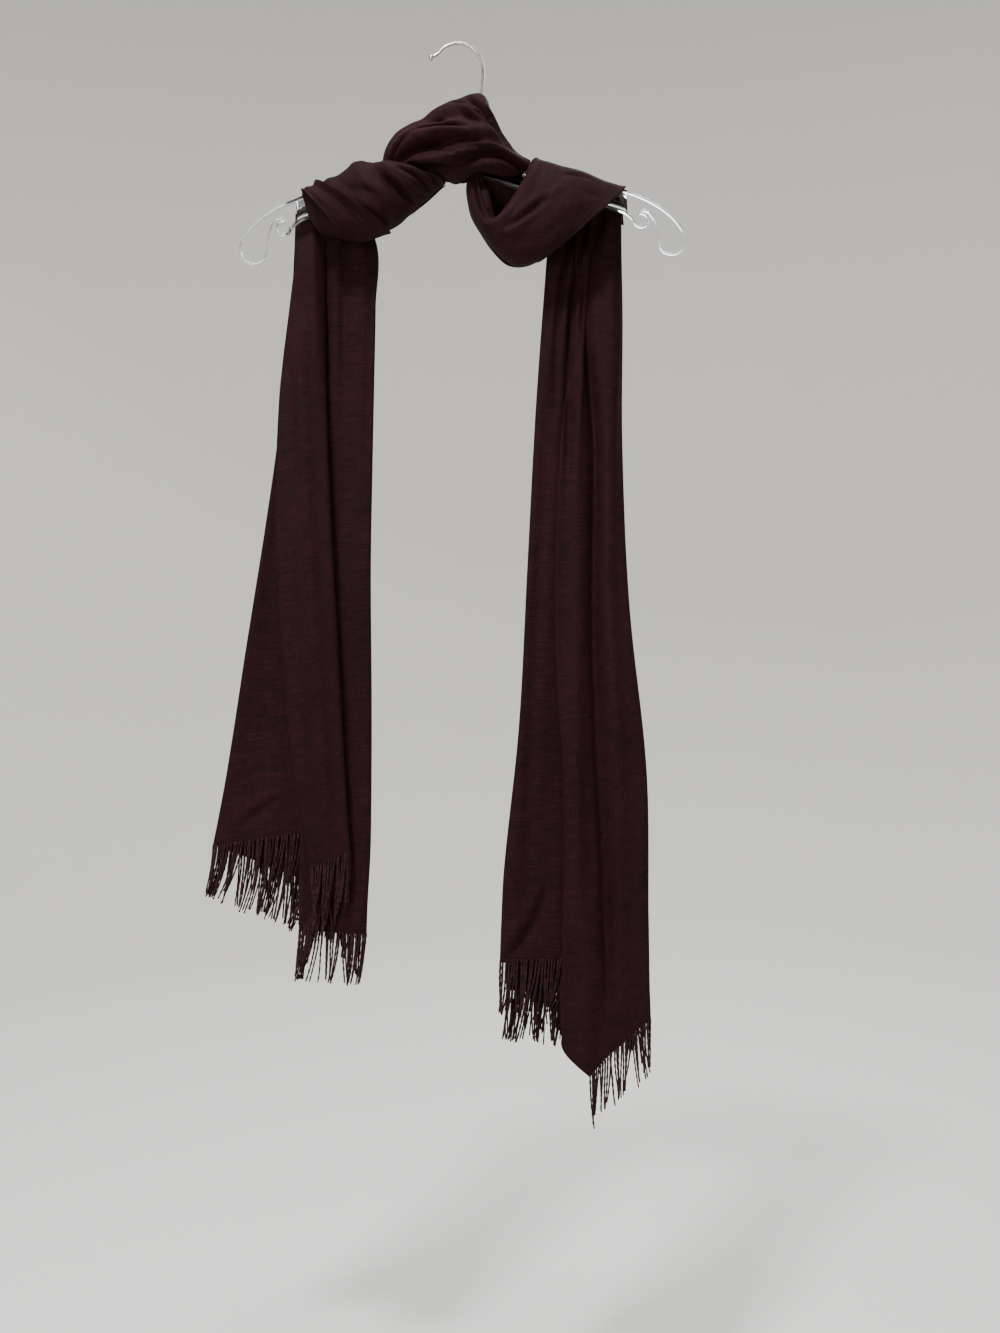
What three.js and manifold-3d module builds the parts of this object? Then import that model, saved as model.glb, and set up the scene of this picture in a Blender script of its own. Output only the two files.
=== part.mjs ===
// A long fringed scarf wound round a clear plastic clothes hanger with a wire hook.
// Millimetres, +Z up, +X to the right as seen from the front, +Y to the back.
// The origin is where the hook bears on the rod that holds it up.
//
// The scarf is one rectangle of thin cloth. Its middle is gathered round the hanger's neck, each half is
// wound round an arm, and each end goes over the arm's rail and hangs behind it as a folded tail.
// Every stretch is a wall: a sheet of points worked out from a short table, given a thickness.
import * as THREE from "three";
import { mergeVertices } from "three/addons/utils/BufferGeometryUtils.js";
import Module from "manifold-3d";

const wasm = await Module();
wasm.setup();

// ---------------------------------------------------------------- driving dimensions
const SEAM_GAP = 0.4; // between pieces of cloth that are sewn or continue into each other
const TAIL_WALL = 1.0;
const WRAP_WALL = 1.2;
const NECK_WALL = 1.6;

const HOOK_WIRE = 3.2;
const HOOK_RADIUS = 23.3; // of the wire's centre line round the rod
const HOOK_TIP = { x: -25.5, z: -12, radius: 2.6 };

const HANGER_TILT = 1.4; // degrees, right arm up
const RAIL_CREST = -96; // the top rail's height at the neck
const RAIL_FALL = 0.3; // its fall per millimetre of arm
const RAIL_THICKNESS = 2;
const RAIL_DEPTH = 6;
const WEB_DEPTH = 1.6;
const BOSS_RADIUS = 6;

const FRINGE = { length: 48, radius: 0.65, strip: 2.6, stripWall: 1.5, spread: 0.065, perTail: 100, steps: 1 };

// ---------------------------------------------------------------- small helpers
const clamp = (v, low, high) => Math.max(low, Math.min(high, v));
const mix = (a, b, t) => a + (b - a) * t;
const ease = (t) => (1 - Math.cos(Math.PI * t)) / 2;
const bell = (v) => Math.exp(-v * v);
// A repeatable number from -1 to 1 for the nth of something.
const scatter = (n) => {
  const s = Math.sin(n * 12.9898) * 43758.5453;
  return 2 * (s - Math.floor(s)) - 1;
};

// A smooth curve through values at stations, with each slope taken from the two neighbours.
function along(stations, values, t) {
  const last = stations.length - 1;
  let k = 0;
  while (k < last - 1 && t > stations[k + 1]) k++;
  const slope = (i) => {
    const a = Math.max(i - 1, 0);
    const b = Math.min(i + 1, last);
    return (values[b] - values[a]) / (stations[b] - stations[a]);
  };
  const h = stations[k + 1] - stations[k];
  const s = clamp((t - stations[k]) / h, 0, 1);
  const s2 = s * s;
  const s3 = s2 * s;
  return (
    values[k] * (2 * s3 - 3 * s2 + 1) +
    slope(k) * h * (s3 - 2 * s2 + s) +
    values[k + 1] * (3 * s2 - 2 * s3) +
    slope(k + 1) * h * (s3 - s2)
  );
}

// Height of the top rail's centre line, with the hanger's tilt.
const TILT = THREE.MathUtils.degToRad(HANGER_TILT);
const railAt = (x) => RAIL_CREST - RAIL_FALL * Math.abs(x) + x * Math.sin(TILT);

// ---------------------------------------------------------------- walls
const at = (grid, row, column) =>
  grid[clamp(row, 0, grid.length - 1)][clamp(column, 0, grid[0].length - 1)];

function normalAt(grid, row, column) {
  const down = at(grid, row + 1, column).clone().sub(at(grid, row - 1, column));
  const across = at(grid, row, column + 1).clone().sub(at(grid, row, column - 1));
  return down.cross(across).normalize();
}

// A closed wall round a sheet of points: half the thickness to each side, with a rim on all four edges.
function wallGeometry(grid, thickness) {
  const rows = grid.length;
  const columns = grid[0].length;
  const positions = [];
  for (const side of [1, -1])
    for (let i = 0; i < rows; i++)
      for (let j = 0; j < columns; j++) {
        const out = normalAt(grid, i, j).multiplyScalar((side * thickness) / 2);
        const p = grid[i][j].clone().add(out);
        positions.push(p.x, p.y, p.z);
      }
  const index = [];
  const front = (i, j) => i * columns + j;
  const back = (i, j) => rows * columns + front(i, j);
  const quad = (a, b, c, d) => index.push(a, b, c, a, c, d);
  for (let i = 0; i < rows - 1; i++)
    for (let j = 0; j < columns - 1; j++) {
      quad(front(i, j), front(i + 1, j), front(i + 1, j + 1), front(i, j + 1));
      quad(back(i, j), back(i, j + 1), back(i + 1, j + 1), back(i + 1, j));
    }
  for (let i = 0; i < rows - 1; i++) {
    const last = columns - 1;
    quad(front(i, 0), back(i, 0), back(i + 1, 0), front(i + 1, 0));
    quad(front(i, last), front(i + 1, last), back(i + 1, last), back(i, last));
  }
  for (let j = 0; j < columns - 1; j++) {
    const last = rows - 1;
    quad(front(0, j), front(0, j + 1), back(0, j + 1), back(0, j));
    quad(front(last, j), back(last, j), back(last, j + 1), front(last, j + 1));
  }
  const geometry = new THREE.BufferGeometry();
  geometry.setAttribute("position", new THREE.Float32BufferAttribute(positions, 3));
  geometry.setIndex(index);
  return geometry;
}

// ---------------------------------------------------------------- solids
function solidOf(geometry) {
  const bare = new THREE.BufferGeometry();
  bare.setAttribute("position", geometry.getAttribute("position"));
  bare.setIndex(geometry.getIndex());
  const merged = mergeVertices(bare, 1e-4);
  return new wasm.Manifold(
    new wasm.Mesh({
      numProp: 3,
      vertProperties: merged.getAttribute("position").array,
      triVerts: new Uint32Array(merged.getIndex().array),
    }),
  );
}

function geometryOf(solid) {
  const mesh = solid.getMesh();
  const geometry = new THREE.BufferGeometry();
  const positions = new Float32Array(mesh.numVert * 3);
  for (let i = 0; i < mesh.numVert; i++)
    positions.set(mesh.vertProperties.subarray(i * mesh.numProp, i * mesh.numProp + 3), i * 3);
  geometry.setAttribute("position", new THREE.BufferAttribute(positions, 3));
  geometry.setIndex(new THREE.BufferAttribute(mesh.triVerts, 1));
  return geometry;
}

const joined = (solids) => solids.reduce((a, b) => a.add(b));

// ---------------------------------------------------------------- the tails
// A tail is folded flat like a fan. Its table has a row for each selvedge, fold and soft bend, in the order
// the cloth runs from front to back. x is the row's place at each station from the rail to the hem, hem is
// the height of the hem there, and push moves the cloth back at that row.
const TAIL_STATIONS = [0, 0.06, 0.15, 0.3, 0.5, 0.7, 0.88, 0.96, 1];

const LEFT_TAIL = {
  frontAtRail: 10.1,
  frontAtHem: -9,
  pitchAtRail: 2.6,
  pitchAtHem: 7,
  rows: [
    { row: "front selvedge", kind: "edge", x: [-150, -153, -160, -170, -172, -164, -153, -144, -140],
      hem: -782, push: 0 },
    { row: "front fold", kind: "fold", x: [-133, -129, -128, -126, -120, -113, -107, -104, -102],
      hem: -767, push: 0 },
    { row: "second fold", kind: "fold", x: [-144, -145, -147, -151, -153, -151, -150, -151, -151],
      hem: -842, push: 0 },
    { row: "right fold", kind: "fold", x: [-112, -80, -80, -82, -84, -83, -84, -87, -88],
      hem: -846, push: 0 },
    { row: "soft bend", kind: "bend", x: [-136, -126, -124, -128, -133, -139, -144, -148, -150],
      hem: -751, push: 2 },
    { row: "left fold", kind: "fold", x: [-157, -158, -161, -170, -186, -205, -222, -231, -236],
      hem: -763, push: 0 },
    { row: "rear fold", kind: "fold", x: [-117, -91, -89, -92, -96, -101, -104, -106, -107],
      hem: -812, push: 0 },
    { row: "rear selvedge", kind: "edge", x: [-150, -151, -152, -157, -165, -176, -186, -191, -194],
      hem: -776, push: 0 },
  ],
  ridges: [
    { ridge: "pleat by the fold", x: [-121, -118, -116, -115, -122, -118, -118, -118, -118],
      width: 5, height: 5, until: 0.34 },
    { ridge: "left pleat", x: [-146, -144, -143, -142, -144, -142, -140, -137, -136],
      width: 9, height: 3, until: 0.6 },
    { ridge: "right pleat", x: [-103, -98, -95, -96, -98, -98, -98, -98, -98],
      width: 8, height: 4, until: 0.5 },
    { ridge: "long swell", x: [-148, -148, -148, -150, -152, -150, -148, -147, -146],
      width: 20, height: 5, until: 1.4 },
  ],
};

const RIGHT_TAIL = {
  frontAtRail: 11.1,
  frontAtHem: -12,
  pitchAtRail: 2.6,
  pitchAtHem: 7,
  rows: [
    { row: "front selvedge", kind: "edge", x: [114, 112, 112, 97, 92, 100, 98, 101, 124],
      hem: -976, push: 0 },
    { row: "valley", kind: "bend", x: [130, 128, 126, 131, 128, 133, 141, 142, 142], hem: -958, push: 2.5 },
    { row: "right fold", kind: "fold", x: [156, 156, 157, 156, 162, 178, 180, 181, 182],
      hem: -924, push: 0 },
    { row: "soft bend", kind: "bend", x: [126, 124, 121, 116, 111, 106, 102, 100, 99], hem: -867, push: 2 },
    { row: "left fold", kind: "fold", x: [98, 88, 82, 74, 66, 58, 44, 41, 40], hem: -871, push: 0 },
    { row: "rear right fold", kind: "fold", x: [152, 150, 149, 147, 150, 163, 169, 170, 171],
      hem: -907, push: 0 },
    { row: "rear left fold", kind: "fold", x: [102, 93, 88, 80, 72, 64, 50, 47, 46], hem: -900, push: 0 },
    { row: "back fold", kind: "fold", x: [145, 142, 139, 135, 135, 139, 142, 143, 144],
      hem: -898, push: 0 },
    { row: "rear selvedge", kind: "edge", x: [110, 104, 98, 93, 87, 81, 74, 70, 68], hem: -893, push: 0 },
  ],
  ridges: [
    { ridge: "left pleat", x: [104, 98, 93, 92, 92, 92, 92, 92, 92], width: 5, height: 4, until: 0.3 },
    { ridge: "second pleat", x: [122, 116, 103, 97, 94, 96, 96, 96, 96],
      width: 5, height: 4.4, until: 0.4 },
    { ridge: "third pleat", x: [137, 129, 119, 112, 108, 108, 108, 108, 108],
      width: 5.4, height: 3.6, until: 0.45 },
    { ridge: "right pleat", x: [148, 147, 146, 143, 146, 156, 162, 163, 164],
      width: 9, height: 5, until: 1.3 },
    { ridge: "left swell", x: [104, 98, 92, 86, 82, 76, 68, 65, 64], width: 12, height: 4, until: 1.2 },
  ],
};

// The corners of the folded path at t, from 0 at the rail to 1 at the hem: place, depth and hem of each row.
function tailRows(tail, t) {
  const front = mix(tail.frontAtRail, tail.frontAtHem, ease(clamp(t * 1.6, 0, 1)));
  const pitch = mix(tail.pitchAtRail, tail.pitchAtHem, ease(clamp(t * 2.2, 0, 1)));
  let layer = 0;
  return tail.rows.map(({ kind, x, hem, push }) => {
    const place = along(TAIL_STATIONS, x, t);
    const before = layer;
    if (kind === "fold") layer += 1;
    const depth = front + pitch * ((before + layer) / 2) + push * ease(clamp(t * 3, 0, 1));
    const top = railAt(x[0]) - 3 - 1.5 * before;
    const radius = kind === "fold" ? pitch / 2 : 0;
    return { kind, x: place, y: depth, z: mix(top, hem, t), layer: before, radius };
  });
}

// The swell of the front layers at a place, which fades out towards the back ones.
function tailSwell(tail, x, t, layer) {
  const fade = 1 - 0.16 * layer;
  return tail.ridges.reduce((sum, { x: places, width, height, until }) => {
    const strength = ease(clamp(t * 9, 0, 1)) * (1 - ease(clamp(t / until, 0, 1)) * 0.97);
    return sum + fade * height * strength * bell((x - along(TAIL_STATIONS, places, t)) / width);
  }, 0);
}

// One level of the tail from selvedge to selvedge: arcs at the folds, eased panels between them.
function tailSection(tail, t, panelSteps, arcSteps) {
  const rows = tailRows(tail, t);
  const points = [];
  let heading = Math.sign(rows[1].x - rows[0].x);
  const put = (x, y, z, layer) => points.push(new THREE.Vector3(x, y - tailSwell(tail, x, t, layer), z));
  rows.forEach((row, k) => {
    if (row.kind === "fold") {
      const centre = row.x - heading * row.radius;
      for (let i = 0; i <= arcSteps; i++) {
        const turn = -Math.PI / 2 + (Math.PI * i) / arcSteps;
        const x = centre + heading * row.radius * Math.cos(turn);
        put(x, row.y + row.radius * Math.sin(turn), row.z, row.layer + i / arcSteps);
      }
      heading = -heading;
    } else {
      put(row.x, row.y, row.z, row.layer);
    }
    const next = rows[k + 1];
    if (!next) return;
    const from = { x: row.x + heading * row.radius, y: row.y + row.radius, z: row.z };
    const to = { x: next.x - heading * next.radius, y: next.y - next.radius, z: next.z };
    for (let i = 1; i < panelSteps; i++) {
      const s = i / panelSteps;
      put(mix(from.x, to.x, s), mix(from.y, to.y, ease(s)), mix(from.z, to.z, s), next.layer);
    }
  });
  return points;
}

// The tail's sheet from one share of its length to another, with its levels closer at both ends.
function tailSheet(tail, from, to, steps, panelSteps = 3, arcSteps = 3) {
  const sheet = [];
  for (let i = 0; i <= steps; i++) {
    const share = mix(i / steps, ease(i / steps), 0.6);
    sheet.push(tailSection(tail, mix(from, to, share), panelSteps, arcSteps));
  }
  return sheet;
}

// ---------------------------------------------------------------- the fringe
// A narrow strip just below the hem, with twisted strands hanging from it.
function fringeSolid(tail) {
  const hem = tailSection(tail, 1, 4, 4);
  const lowered = (drop) => hem.map((p) => p.clone().setZ(p.z - drop));
  const gap = 2 * SEAM_GAP;
  const strip = wallGeometry([lowered(gap), lowered(gap + FRINGE.strip)], FRINGE.stripWall);
  const lengths = [0];
  for (let i = 1; i < hem.length; i++) lengths.push(lengths[i - 1] + hem[i].distanceTo(hem[i - 1]));
  const total = lengths[lengths.length - 1];
  const right = Math.max(...hem.map((p) => p.x));
  const strands = [solidOf(strip)];
  for (let n = 0; n < FRINGE.perTail; n++) {
    const s = (total * (n + 0.5)) / FRINGE.perTail;
    const k = clamp(lengths.findIndex((l) => l > s) - 1, 0, hem.length - 2);
    const root = hem[k].clone().lerp(hem[k + 1], (s - lengths[k]) / (lengths[k + 1] - lengths[k]));
    root.z -= gap + FRINGE.strip - 1.3;
    strands.push(strandSolid(root, n, FRINGE.spread * (root.x - right)));
  }
  return joined(strands);
}

// A three-sided strand that leans aside by spread and a little more or less, and tapers to its end.
function strandSolid(root, n, spread) {
  const length = FRINGE.length * (1 + 0.07 * scatter(n));
  const leanX = spread + 3 * Math.sin(n * 0.31) + 0.6 * scatter(n + 500);
  const leanY = 1.2 * Math.sin(n * 0.17);
  const ring = (t) => {
    const reach = t * t;
    const radius = FRINGE.radius * (1 - 0.25 * t);
    return [0, 1, 2].map((corner) => {
      const turn = (2 * Math.PI * corner) / 3 + n;
      return new THREE.Vector3(
        root.x + leanX * reach + radius * Math.cos(turn),
        root.y + leanY * reach + radius * Math.sin(turn),
        root.z - length * t,
      );
    });
  };
  const rings = [];
  for (let i = 0; i <= FRINGE.steps; i++) rings.push(ring(i / FRINGE.steps));
  return solidOf(tubeGeometry(rings));
}

// A closed tube through rings of points, all with the same number of corners.
function tubeGeometry(rings) {
  const corners = rings[0].length;
  const positions = rings.flat().flatMap((p) => [p.x, p.y, p.z]);
  const index = [];
  for (let i = 0; i < rings.length - 1; i++)
    for (let j = 0; j < corners; j++) {
      const a = i * corners + j;
      const b = i * corners + ((j + 1) % corners);
      index.push(a, a + corners, b + corners, a, b + corners, b);
    }
  const last = (rings.length - 1) * corners;
  for (let j = 1; j < corners - 1; j++) {
    index.push(0, j, j + 1);
    index.push(last, last + j + 1, last + j);
  }
  const geometry = new THREE.BufferGeometry();
  geometry.setAttribute("position", new THREE.Float32BufferAttribute(positions, 3));
  geometry.setIndex(index);
  return geometry;
}

// ---------------------------------------------------------------- the wound stretches
// A wrap is a row of slanting rings round an arm or the neck. Each ring starts low at the front by its foot,
// goes over its head and comes down at the back towards its heel. front and back are its depths, y is where
// its middle lies, start is the angle it begins at from straight down, and reach is the share of the back
// that the cloth covers. sag is how far its front hangs out below the line from head to foot.
function ringPoint(ring, share) {
  const turn = mix(ring.start - 90, 90 + 180 * ring.reach, share);
  const behind = turn > 90;
  const low = behind ? ring.heel : ring.foot;
  const depth = behind ? ring.back : ring.front;
  const angle = THREE.MathUtils.degToRad(turn);
  const rounded = (v) => Math.sign(v) * Math.pow(Math.abs(v), behind ? 0.74 : 0.86);
  const up = rounded(Math.sin(angle));
  const out = rounded(Math.cos(angle));
  const sag = behind ? 0 : ring.sag * out;
  return new THREE.Vector3(
    mix(low[0], ring.head[0], (1 + up) / 2) + 0.65 * sag,
    ring.y - depth * out,
    mix(low[1], ring.head[1], (1 + up) / 2) - 0.76 * sag,
  );
}

// The ring at a share of the way along a wrap's table.
function ringAt(table, share) {
  const stations = table.map((_, i) => i / (table.length - 1));
  const column = (pick) => along(stations, table.map(pick), share);
  const pair = (name) => [column((r) => r[name][0]), column((r) => r[name][1])];
  const one = (name) => column((r) => r[name]);
  return {
    head: pair("head"),
    foot: pair("foot"),
    heel: pair("heel"),
    front: one("front"),
    back: one("back"),
    y: one("y"),
    start: one("start"),
    reach: one("reach"),
    sag: column((r) => r.sag ?? 0),
  };
}

// Distance from a point of the front to a crease's line, in the plane of the hanger.
function creaseDistance(line, p) {
  let nearest = Infinity;
  for (let i = 0; i < line.length - 1; i++) {
    const [ax, az] = line[i];
    const [bx, bz] = line[i + 1];
    const length = (bx - ax) ** 2 + (bz - az) ** 2;
    const t = clamp(((p.x - ax) * (bx - ax) + (p.z - az) * (bz - az)) / length, 0, 1);
    nearest = Math.min(nearest, Math.hypot(p.x - mix(ax, bx, t), p.z - mix(az, bz, t)));
  }
  return nearest;
}

// A wrap's sheet. Creases are ridges, or valleys if their height is below 0, along lines on its front.
function wrapSheet(wrap, steps, ringSteps) {
  const sheet = [];
  for (let i = 0; i <= steps; i++) {
    const ring = ringAt(wrap.rings, i / steps);
    sheet.push(Array.from({ length: ringSteps + 1 }, (_, j) => ringPoint(ring, j / ringSteps)));
  }
  return sheet.map((line, i) =>
    line.map((p, j) => {
      const out = normalAt(sheet, i, j).multiplyScalar(wrap.outward);
      const facing = ease(clamp(0.5 - out.y * 1.4, 0, 1));
      const raised = (c) => c.height * bell(creaseDistance(c.line, p) / c.width);
      const front = wrap.creases.reduce((sum, c) => sum + raised(c), 0);
      const inside = Math.sqrt(Math.sin((Math.PI * i) / steps));
      const rear = wrap.rearPleats * inside * Math.sin((12 * Math.PI * j) / ringSteps) * (1 - facing);
      return p.clone().addScaledVector(out, front * facing + rear);
    }),
  );
}

const LEFT_INNER_WRAP = {
  outward: 1,
  rearPleats: 0,
  rings: [
    { head: [-148, -142], foot: [-141, -165], heel: [-140, -167],
      front: 9, back: 6.5, y: 0, start: 4, reach: 0.95 },
    { head: [-139, -138.8], foot: [-129, -179], heel: [-129, -179],
      front: 15.5, back: 7.5, y: 0, start: 4, reach: 0.95 },
    { head: [-131.5, -135.8], foot: [-116, -183], heel: [-116, -183],
      front: 18.5, back: 7.5, y: 0, start: 4, reach: 0.95 },
    { head: [-124, -128.7], foot: [-104, -184], heel: [-104, -184],
      front: 21, back: 7.5, y: 0, start: 4, reach: 0.95 },
    { head: [-114, -126.4], foot: [-88, -182], heel: [-88, -182],
      front: 23.5, back: 7.5, y: 0, start: 4, reach: 0.95 },
    { head: [-104, -119.5], foot: [-72, -178], heel: [-72, -178],
      front: 25, back: 8, y: 0, start: 4, reach: 0.95 },
    { head: [-96, -113.6], foot: [-58, -171], heel: [-58, -171],
      front: 26, back: 10, y: 0, start: 4, reach: 0.95 },
    { head: [-88, -112.8], foot: [-44, -160], heel: [-44, -160],
      front: 26, back: 12, y: 0, start: 4, reach: 0.95 },
    { head: [-81, -116.4], foot: [-28, -147], heel: [-28, -147],
      front: 25, back: 14, y: 0, start: 4, reach: 0.95 },
    { head: [-76, -116.4], foot: [-12, -131.5], heel: [-12, -131.5],
      front: 23, back: 14, y: 0, start: 4, reach: 0.95 },
  ],
  creases: [
    { crease: "between the turns", height: -4, width: 5,
      line: [[-80, -122], [-66, -136], [-50, -148], [-38, -151]] },
    { crease: "right turn", height: 2.5, width: 7, line: [[-74, -120], [-52, -128], [-30, -138]] },
    { crease: "middle turn", height: 2, width: 9, line: [[-96, -124], [-80, -144], [-60, -160]] },
    { crease: "left turn", height: 1.5, width: 8, line: [[-140, -155], [-128, -172], [-108, -180]] },
  ],
};

const LEFT_OUTER_WRAP = {
  outward: 1,
  rearPleats: 0,
  rings: [
    { head: [-148, -139.9], foot: [-106, -187], heel: [-160, -184],
      front: 24, back: 28, y: 0, start: 14, reach: 0.5 },
    { head: [-144.5, -138.0], foot: [-96, -189], heel: [-142, -188],
      front: 26.6, back: 28, y: 0, start: 12, reach: 0.5 },
    { head: [-141, -136.6], foot: [-85, -188.5], heel: [-124, -188],
      front: 28, back: 28, y: 0, start: 12, reach: 0.5 },
    { head: [-137.5, -135.1], foot: [-74, -185], heel: [-106, -184],
      front: 29.4, back: 28, y: 0, start: 12, reach: 0.5 },
    { head: [-134.2, -133.6], foot: [-63, -179.5], heel: [-88, -176],
      front: 30, back: 28, y: 0, start: 14, reach: 0.5 },
  ],
  creases: [
    { crease: "rolled edge", height: 1.6, width: 5, line: [[-124, -138], [-104, -152], [-78, -170]] },
    { crease: "soft hollow", height: -1.5, width: 8, line: [[-132, -140], [-112, -158], [-92, -178]] },
  ],
};

// The right band's first rings stop short of their heads: they make the rim that hangs open at the front.
const RIGHT_BAND = {
  outward: 1,
  rearPleats: 0,
  rings: [
    { head: [27, -113], foot: [10, -126], heel: [27, -113],
      front: 5, back: 8, y: -7, start: 0, reach: -0.15 },
    { head: [24, -131], foot: [8, -138], heel: [24, -131],
      front: 10, back: 8, y: -1, start: 0, reach: -0.15 },
    { head: [28, -146], foot: [9.5, -150], heel: [28, -146],
      front: 15, back: 8, y: 0, start: 0, reach: -0.15 },
    { head: [31, -160], foot: [12.5, -163], heel: [31, -160],
      front: 19, back: 8, y: 0, start: 0, reach: -0.15 },
    { head: [34, -170], foot: [18, -174], heel: [34, -170],
      front: 21, back: 8, y: 0, start: 0, reach: -0.15 },
    { head: [41, -168], foot: [25, -184], heel: [41, -168],
      front: 23, back: 8, y: 0, start: 0, reach: -0.15 },
    { head: [52, -154], foot: [32.5, -193], heel: [52, -154],
      front: 26, back: 9, y: 0, start: 0, reach: -0.14 },
    { head: [64, -134], foot: [40, -201], heel: [62, -136],
      front: 28, back: 12, y: 0, start: 0, reach: -0.12 },
    { head: [74, -112.9], foot: [46, -206], heel: [68, -140],
      front: 30, back: 18, y: 0, start: 0, reach: -0.07 },
    { head: [84, -113.3], foot: [52, -209.5], heel: [78, -150],
      front: 32, back: 25, y: 0, start: 0, reach: 0.22 },
    { head: [100, -116.7], foot: [58, -211], heel: [96, -164],
      front: 33, back: 27.4, y: 0, start: 0, reach: 0.38, sag: 1.5 },
    { head: [118, -122.5], foot: [64, -210.5], heel: [116, -174],
      front: 33, back: 27.8, y: 0, start: 0, reach: 0.46, sag: 3.5 },
    { head: [138, -130], foot: [70, -208.5], heel: [139, -182],
      front: 30, back: 27.8, y: 0, start: 0, reach: 0.5, sag: 5.5 },
    { head: [158, -135.7], foot: [76, -205.5], heel: [162, -188],
      front: 25, back: 27.8, y: 0, start: 0, reach: 0.5, sag: 7.5 },
  ],
  creases: [
    { crease: "soft fold", height: 2, width: 8, line: [[92, -118], [70, -160], [50, -190]] },
    { crease: "hollow", height: -2, width: 8, line: [[84, -122], [64, -156], [44, -182]] },
    { crease: "lower edge", height: 1.4, width: 6, line: [[150, -150], [112, -182], [76, -204]] },
  ],
};

// The loop that comes down behind the neck and turns forward into the right band. Each row runs from its
// foot, beside the band's own foot, back and up to its head, inside the neck's folds.
const RIGHT_LOOP = {
  rows: [
    { foot: [8, -138], head: [14, -118], swell: 6 },
    { foot: [13, -160], head: [25, -117], swell: 12 },
    { foot: [23, -181], head: [39, -118], swell: 15 },
    { foot: [42, -205], head: [54, -120], swell: 15 },
    { foot: [57, -210.5], head: [67, -123], swell: 13 },
    { foot: [73, -206], head: [79, -127], swell: 12 },
  ],
};

function loopSheet(steps, acrossSteps) {
  const rows = RIGHT_LOOP.rows;
  const stations = rows.map((_, i) => i / (rows.length - 1));
  const sheet = [];
  for (let i = 0; i <= steps; i++) {
    const u = i / steps;
    const column = (pick) => along(stations, rows.map(pick), u);
    const foot = [column((r) => r.foot[0]), column((r) => r.foot[1])];
    const head = [column((r) => r.head[0]), column((r) => r.head[1])];
    const swell = column((r) => r.swell);
    const line = [];
    for (let j = 0; j <= acrossSteps; j++) {
      const rise = ease(j / acrossSteps);
      const q = Math.min(rise / 0.8, 1);
      const belly = 2.8 * Math.sqrt(q) * Math.pow(1 - q, 1.2);
      const y = 0.6 + 4.6 * rise + belly * (swell + 2 * Math.sin(16 * u));
      line.push(new THREE.Vector3(mix(foot[0], head[0], rise), y, mix(foot[1], head[1], rise)));
    }
    sheet.push(line);
  }
  return sheet;
}

// The middle of the scarf, gathered into a fan of folds over the hanger's neck. It is open below, where the
// arms come out.
const NECK_WRAP = {
  outward: 1,
  rearPleats: 1.6,
  rings: [
    { head: [-72, -116.6], foot: [-24, -127], heel: [-24, -127],
      front: 12, back: 9, y: -1, start: 24, reach: 0.84 },
    { head: [-69, -102], foot: [-18, -128], heel: [-18, -128],
      front: 18, back: 14, y: -1, start: 18, reach: 0.86 },
    { head: [-61, -87], foot: [-10, -128], heel: [-10, -128],
      front: 24, back: 20, y: 0, start: 14, reach: 0.9 },
    { head: [-46, -78], foot: [-2, -128], heel: [-2, -128],
      front: 28, back: 24, y: 0, start: 12, reach: 0.91 },
    { head: [-28, -71], foot: [4, -130], heel: [4, -128],
      front: 29, back: 26, y: 0, start: 20, reach: 0.91 },
    { head: [-9, -58], foot: [10, -134], heel: [10, -128],
      front: 29, back: 27, y: 0, start: 34, reach: 0.91 },
    { head: [8, -51], foot: [17, -136], heel: [17, -128],
      front: 28, back: 27, y: 0, start: 40, reach: 0.91 },
    { head: [24, -50], foot: [24, -136], heel: [24, -128],
      front: 27, back: 26, y: 0, start: 40, reach: 0.9 },
    { head: [31, -67], foot: [32, -136], heel: [32, -128],
      front: 25, back: 23, y: 0, start: 40, reach: 0.88 },
    { head: [39, -84], foot: [41, -134], heel: [42, -127],
      front: 21, back: 19, y: 0, start: 40, reach: 0.84 },
    { head: [50, -98], foot: [52, -131], heel: [52, -125],
      front: 15, back: 14, y: 0, start: 40, reach: 0.8 },
    { head: [60, -107], foot: [61, -126], heel: [61, -122],
      front: 10, back: 10, y: 0, start: 40, reach: 0.74 },
    { head: [68, -111], foot: [68, -122], heel: [68, -121],
      front: 7, back: 9, y: 0, start: 36, reach: 0.5 },
  ],
  creases: [
    { crease: "lobe edge", height: -4, width: 6, line: [[-60, -90], [-32, -79], [-10, -80], [10, -85]] },
    { crease: "front crest", height: 4.5, width: 6,
      line: [[-60, -106], [-46, -92], [-10, -88], [22, -92], [46, -99]] },
    { crease: "dark pocket", height: -5, width: 6, line: [[-42, -104], [-14, -103], [14, -102]] },
    { crease: "under ridge", height: 4, width: 7, line: [[-40, -116], [10, -113], [40, -114], [60, -117]] },
    { crease: "back crest", height: 3.5, width: 6, line: [[-30, -73], [-6, -67], [16, -71], [34, -86]] },
    { crease: "fan valley", height: -3, width: 6, line: [[6, -57], [16, -66], [28, -80]] },
  ],
};

// ---------------------------------------------------------------- the hanger
const HANGER_RAIL = [
  [0, -96], [14, -100], [40, -108], [80, -120], [120, -132], [150, -141], [157, -143.6],
  [166, -147], [182, -155],
  [197, -166], [207, -178], [211.5, -189], [208.5, -198.5], [200, -203.5], [190.5, -201], [186.5, -193],
  [185, -181], [182, -170], [176.5, -162.5], [170, -161],
];
const HANGER_LOWER_RAIL = [
  [0, -120], [26, -127], [59, -138], [100, -148], [141, -158], [157, -164.6], [164, -172],
];
const HANGER_SCROLL = { x: 170, z: -170.5, radius: 6.5 };

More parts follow.
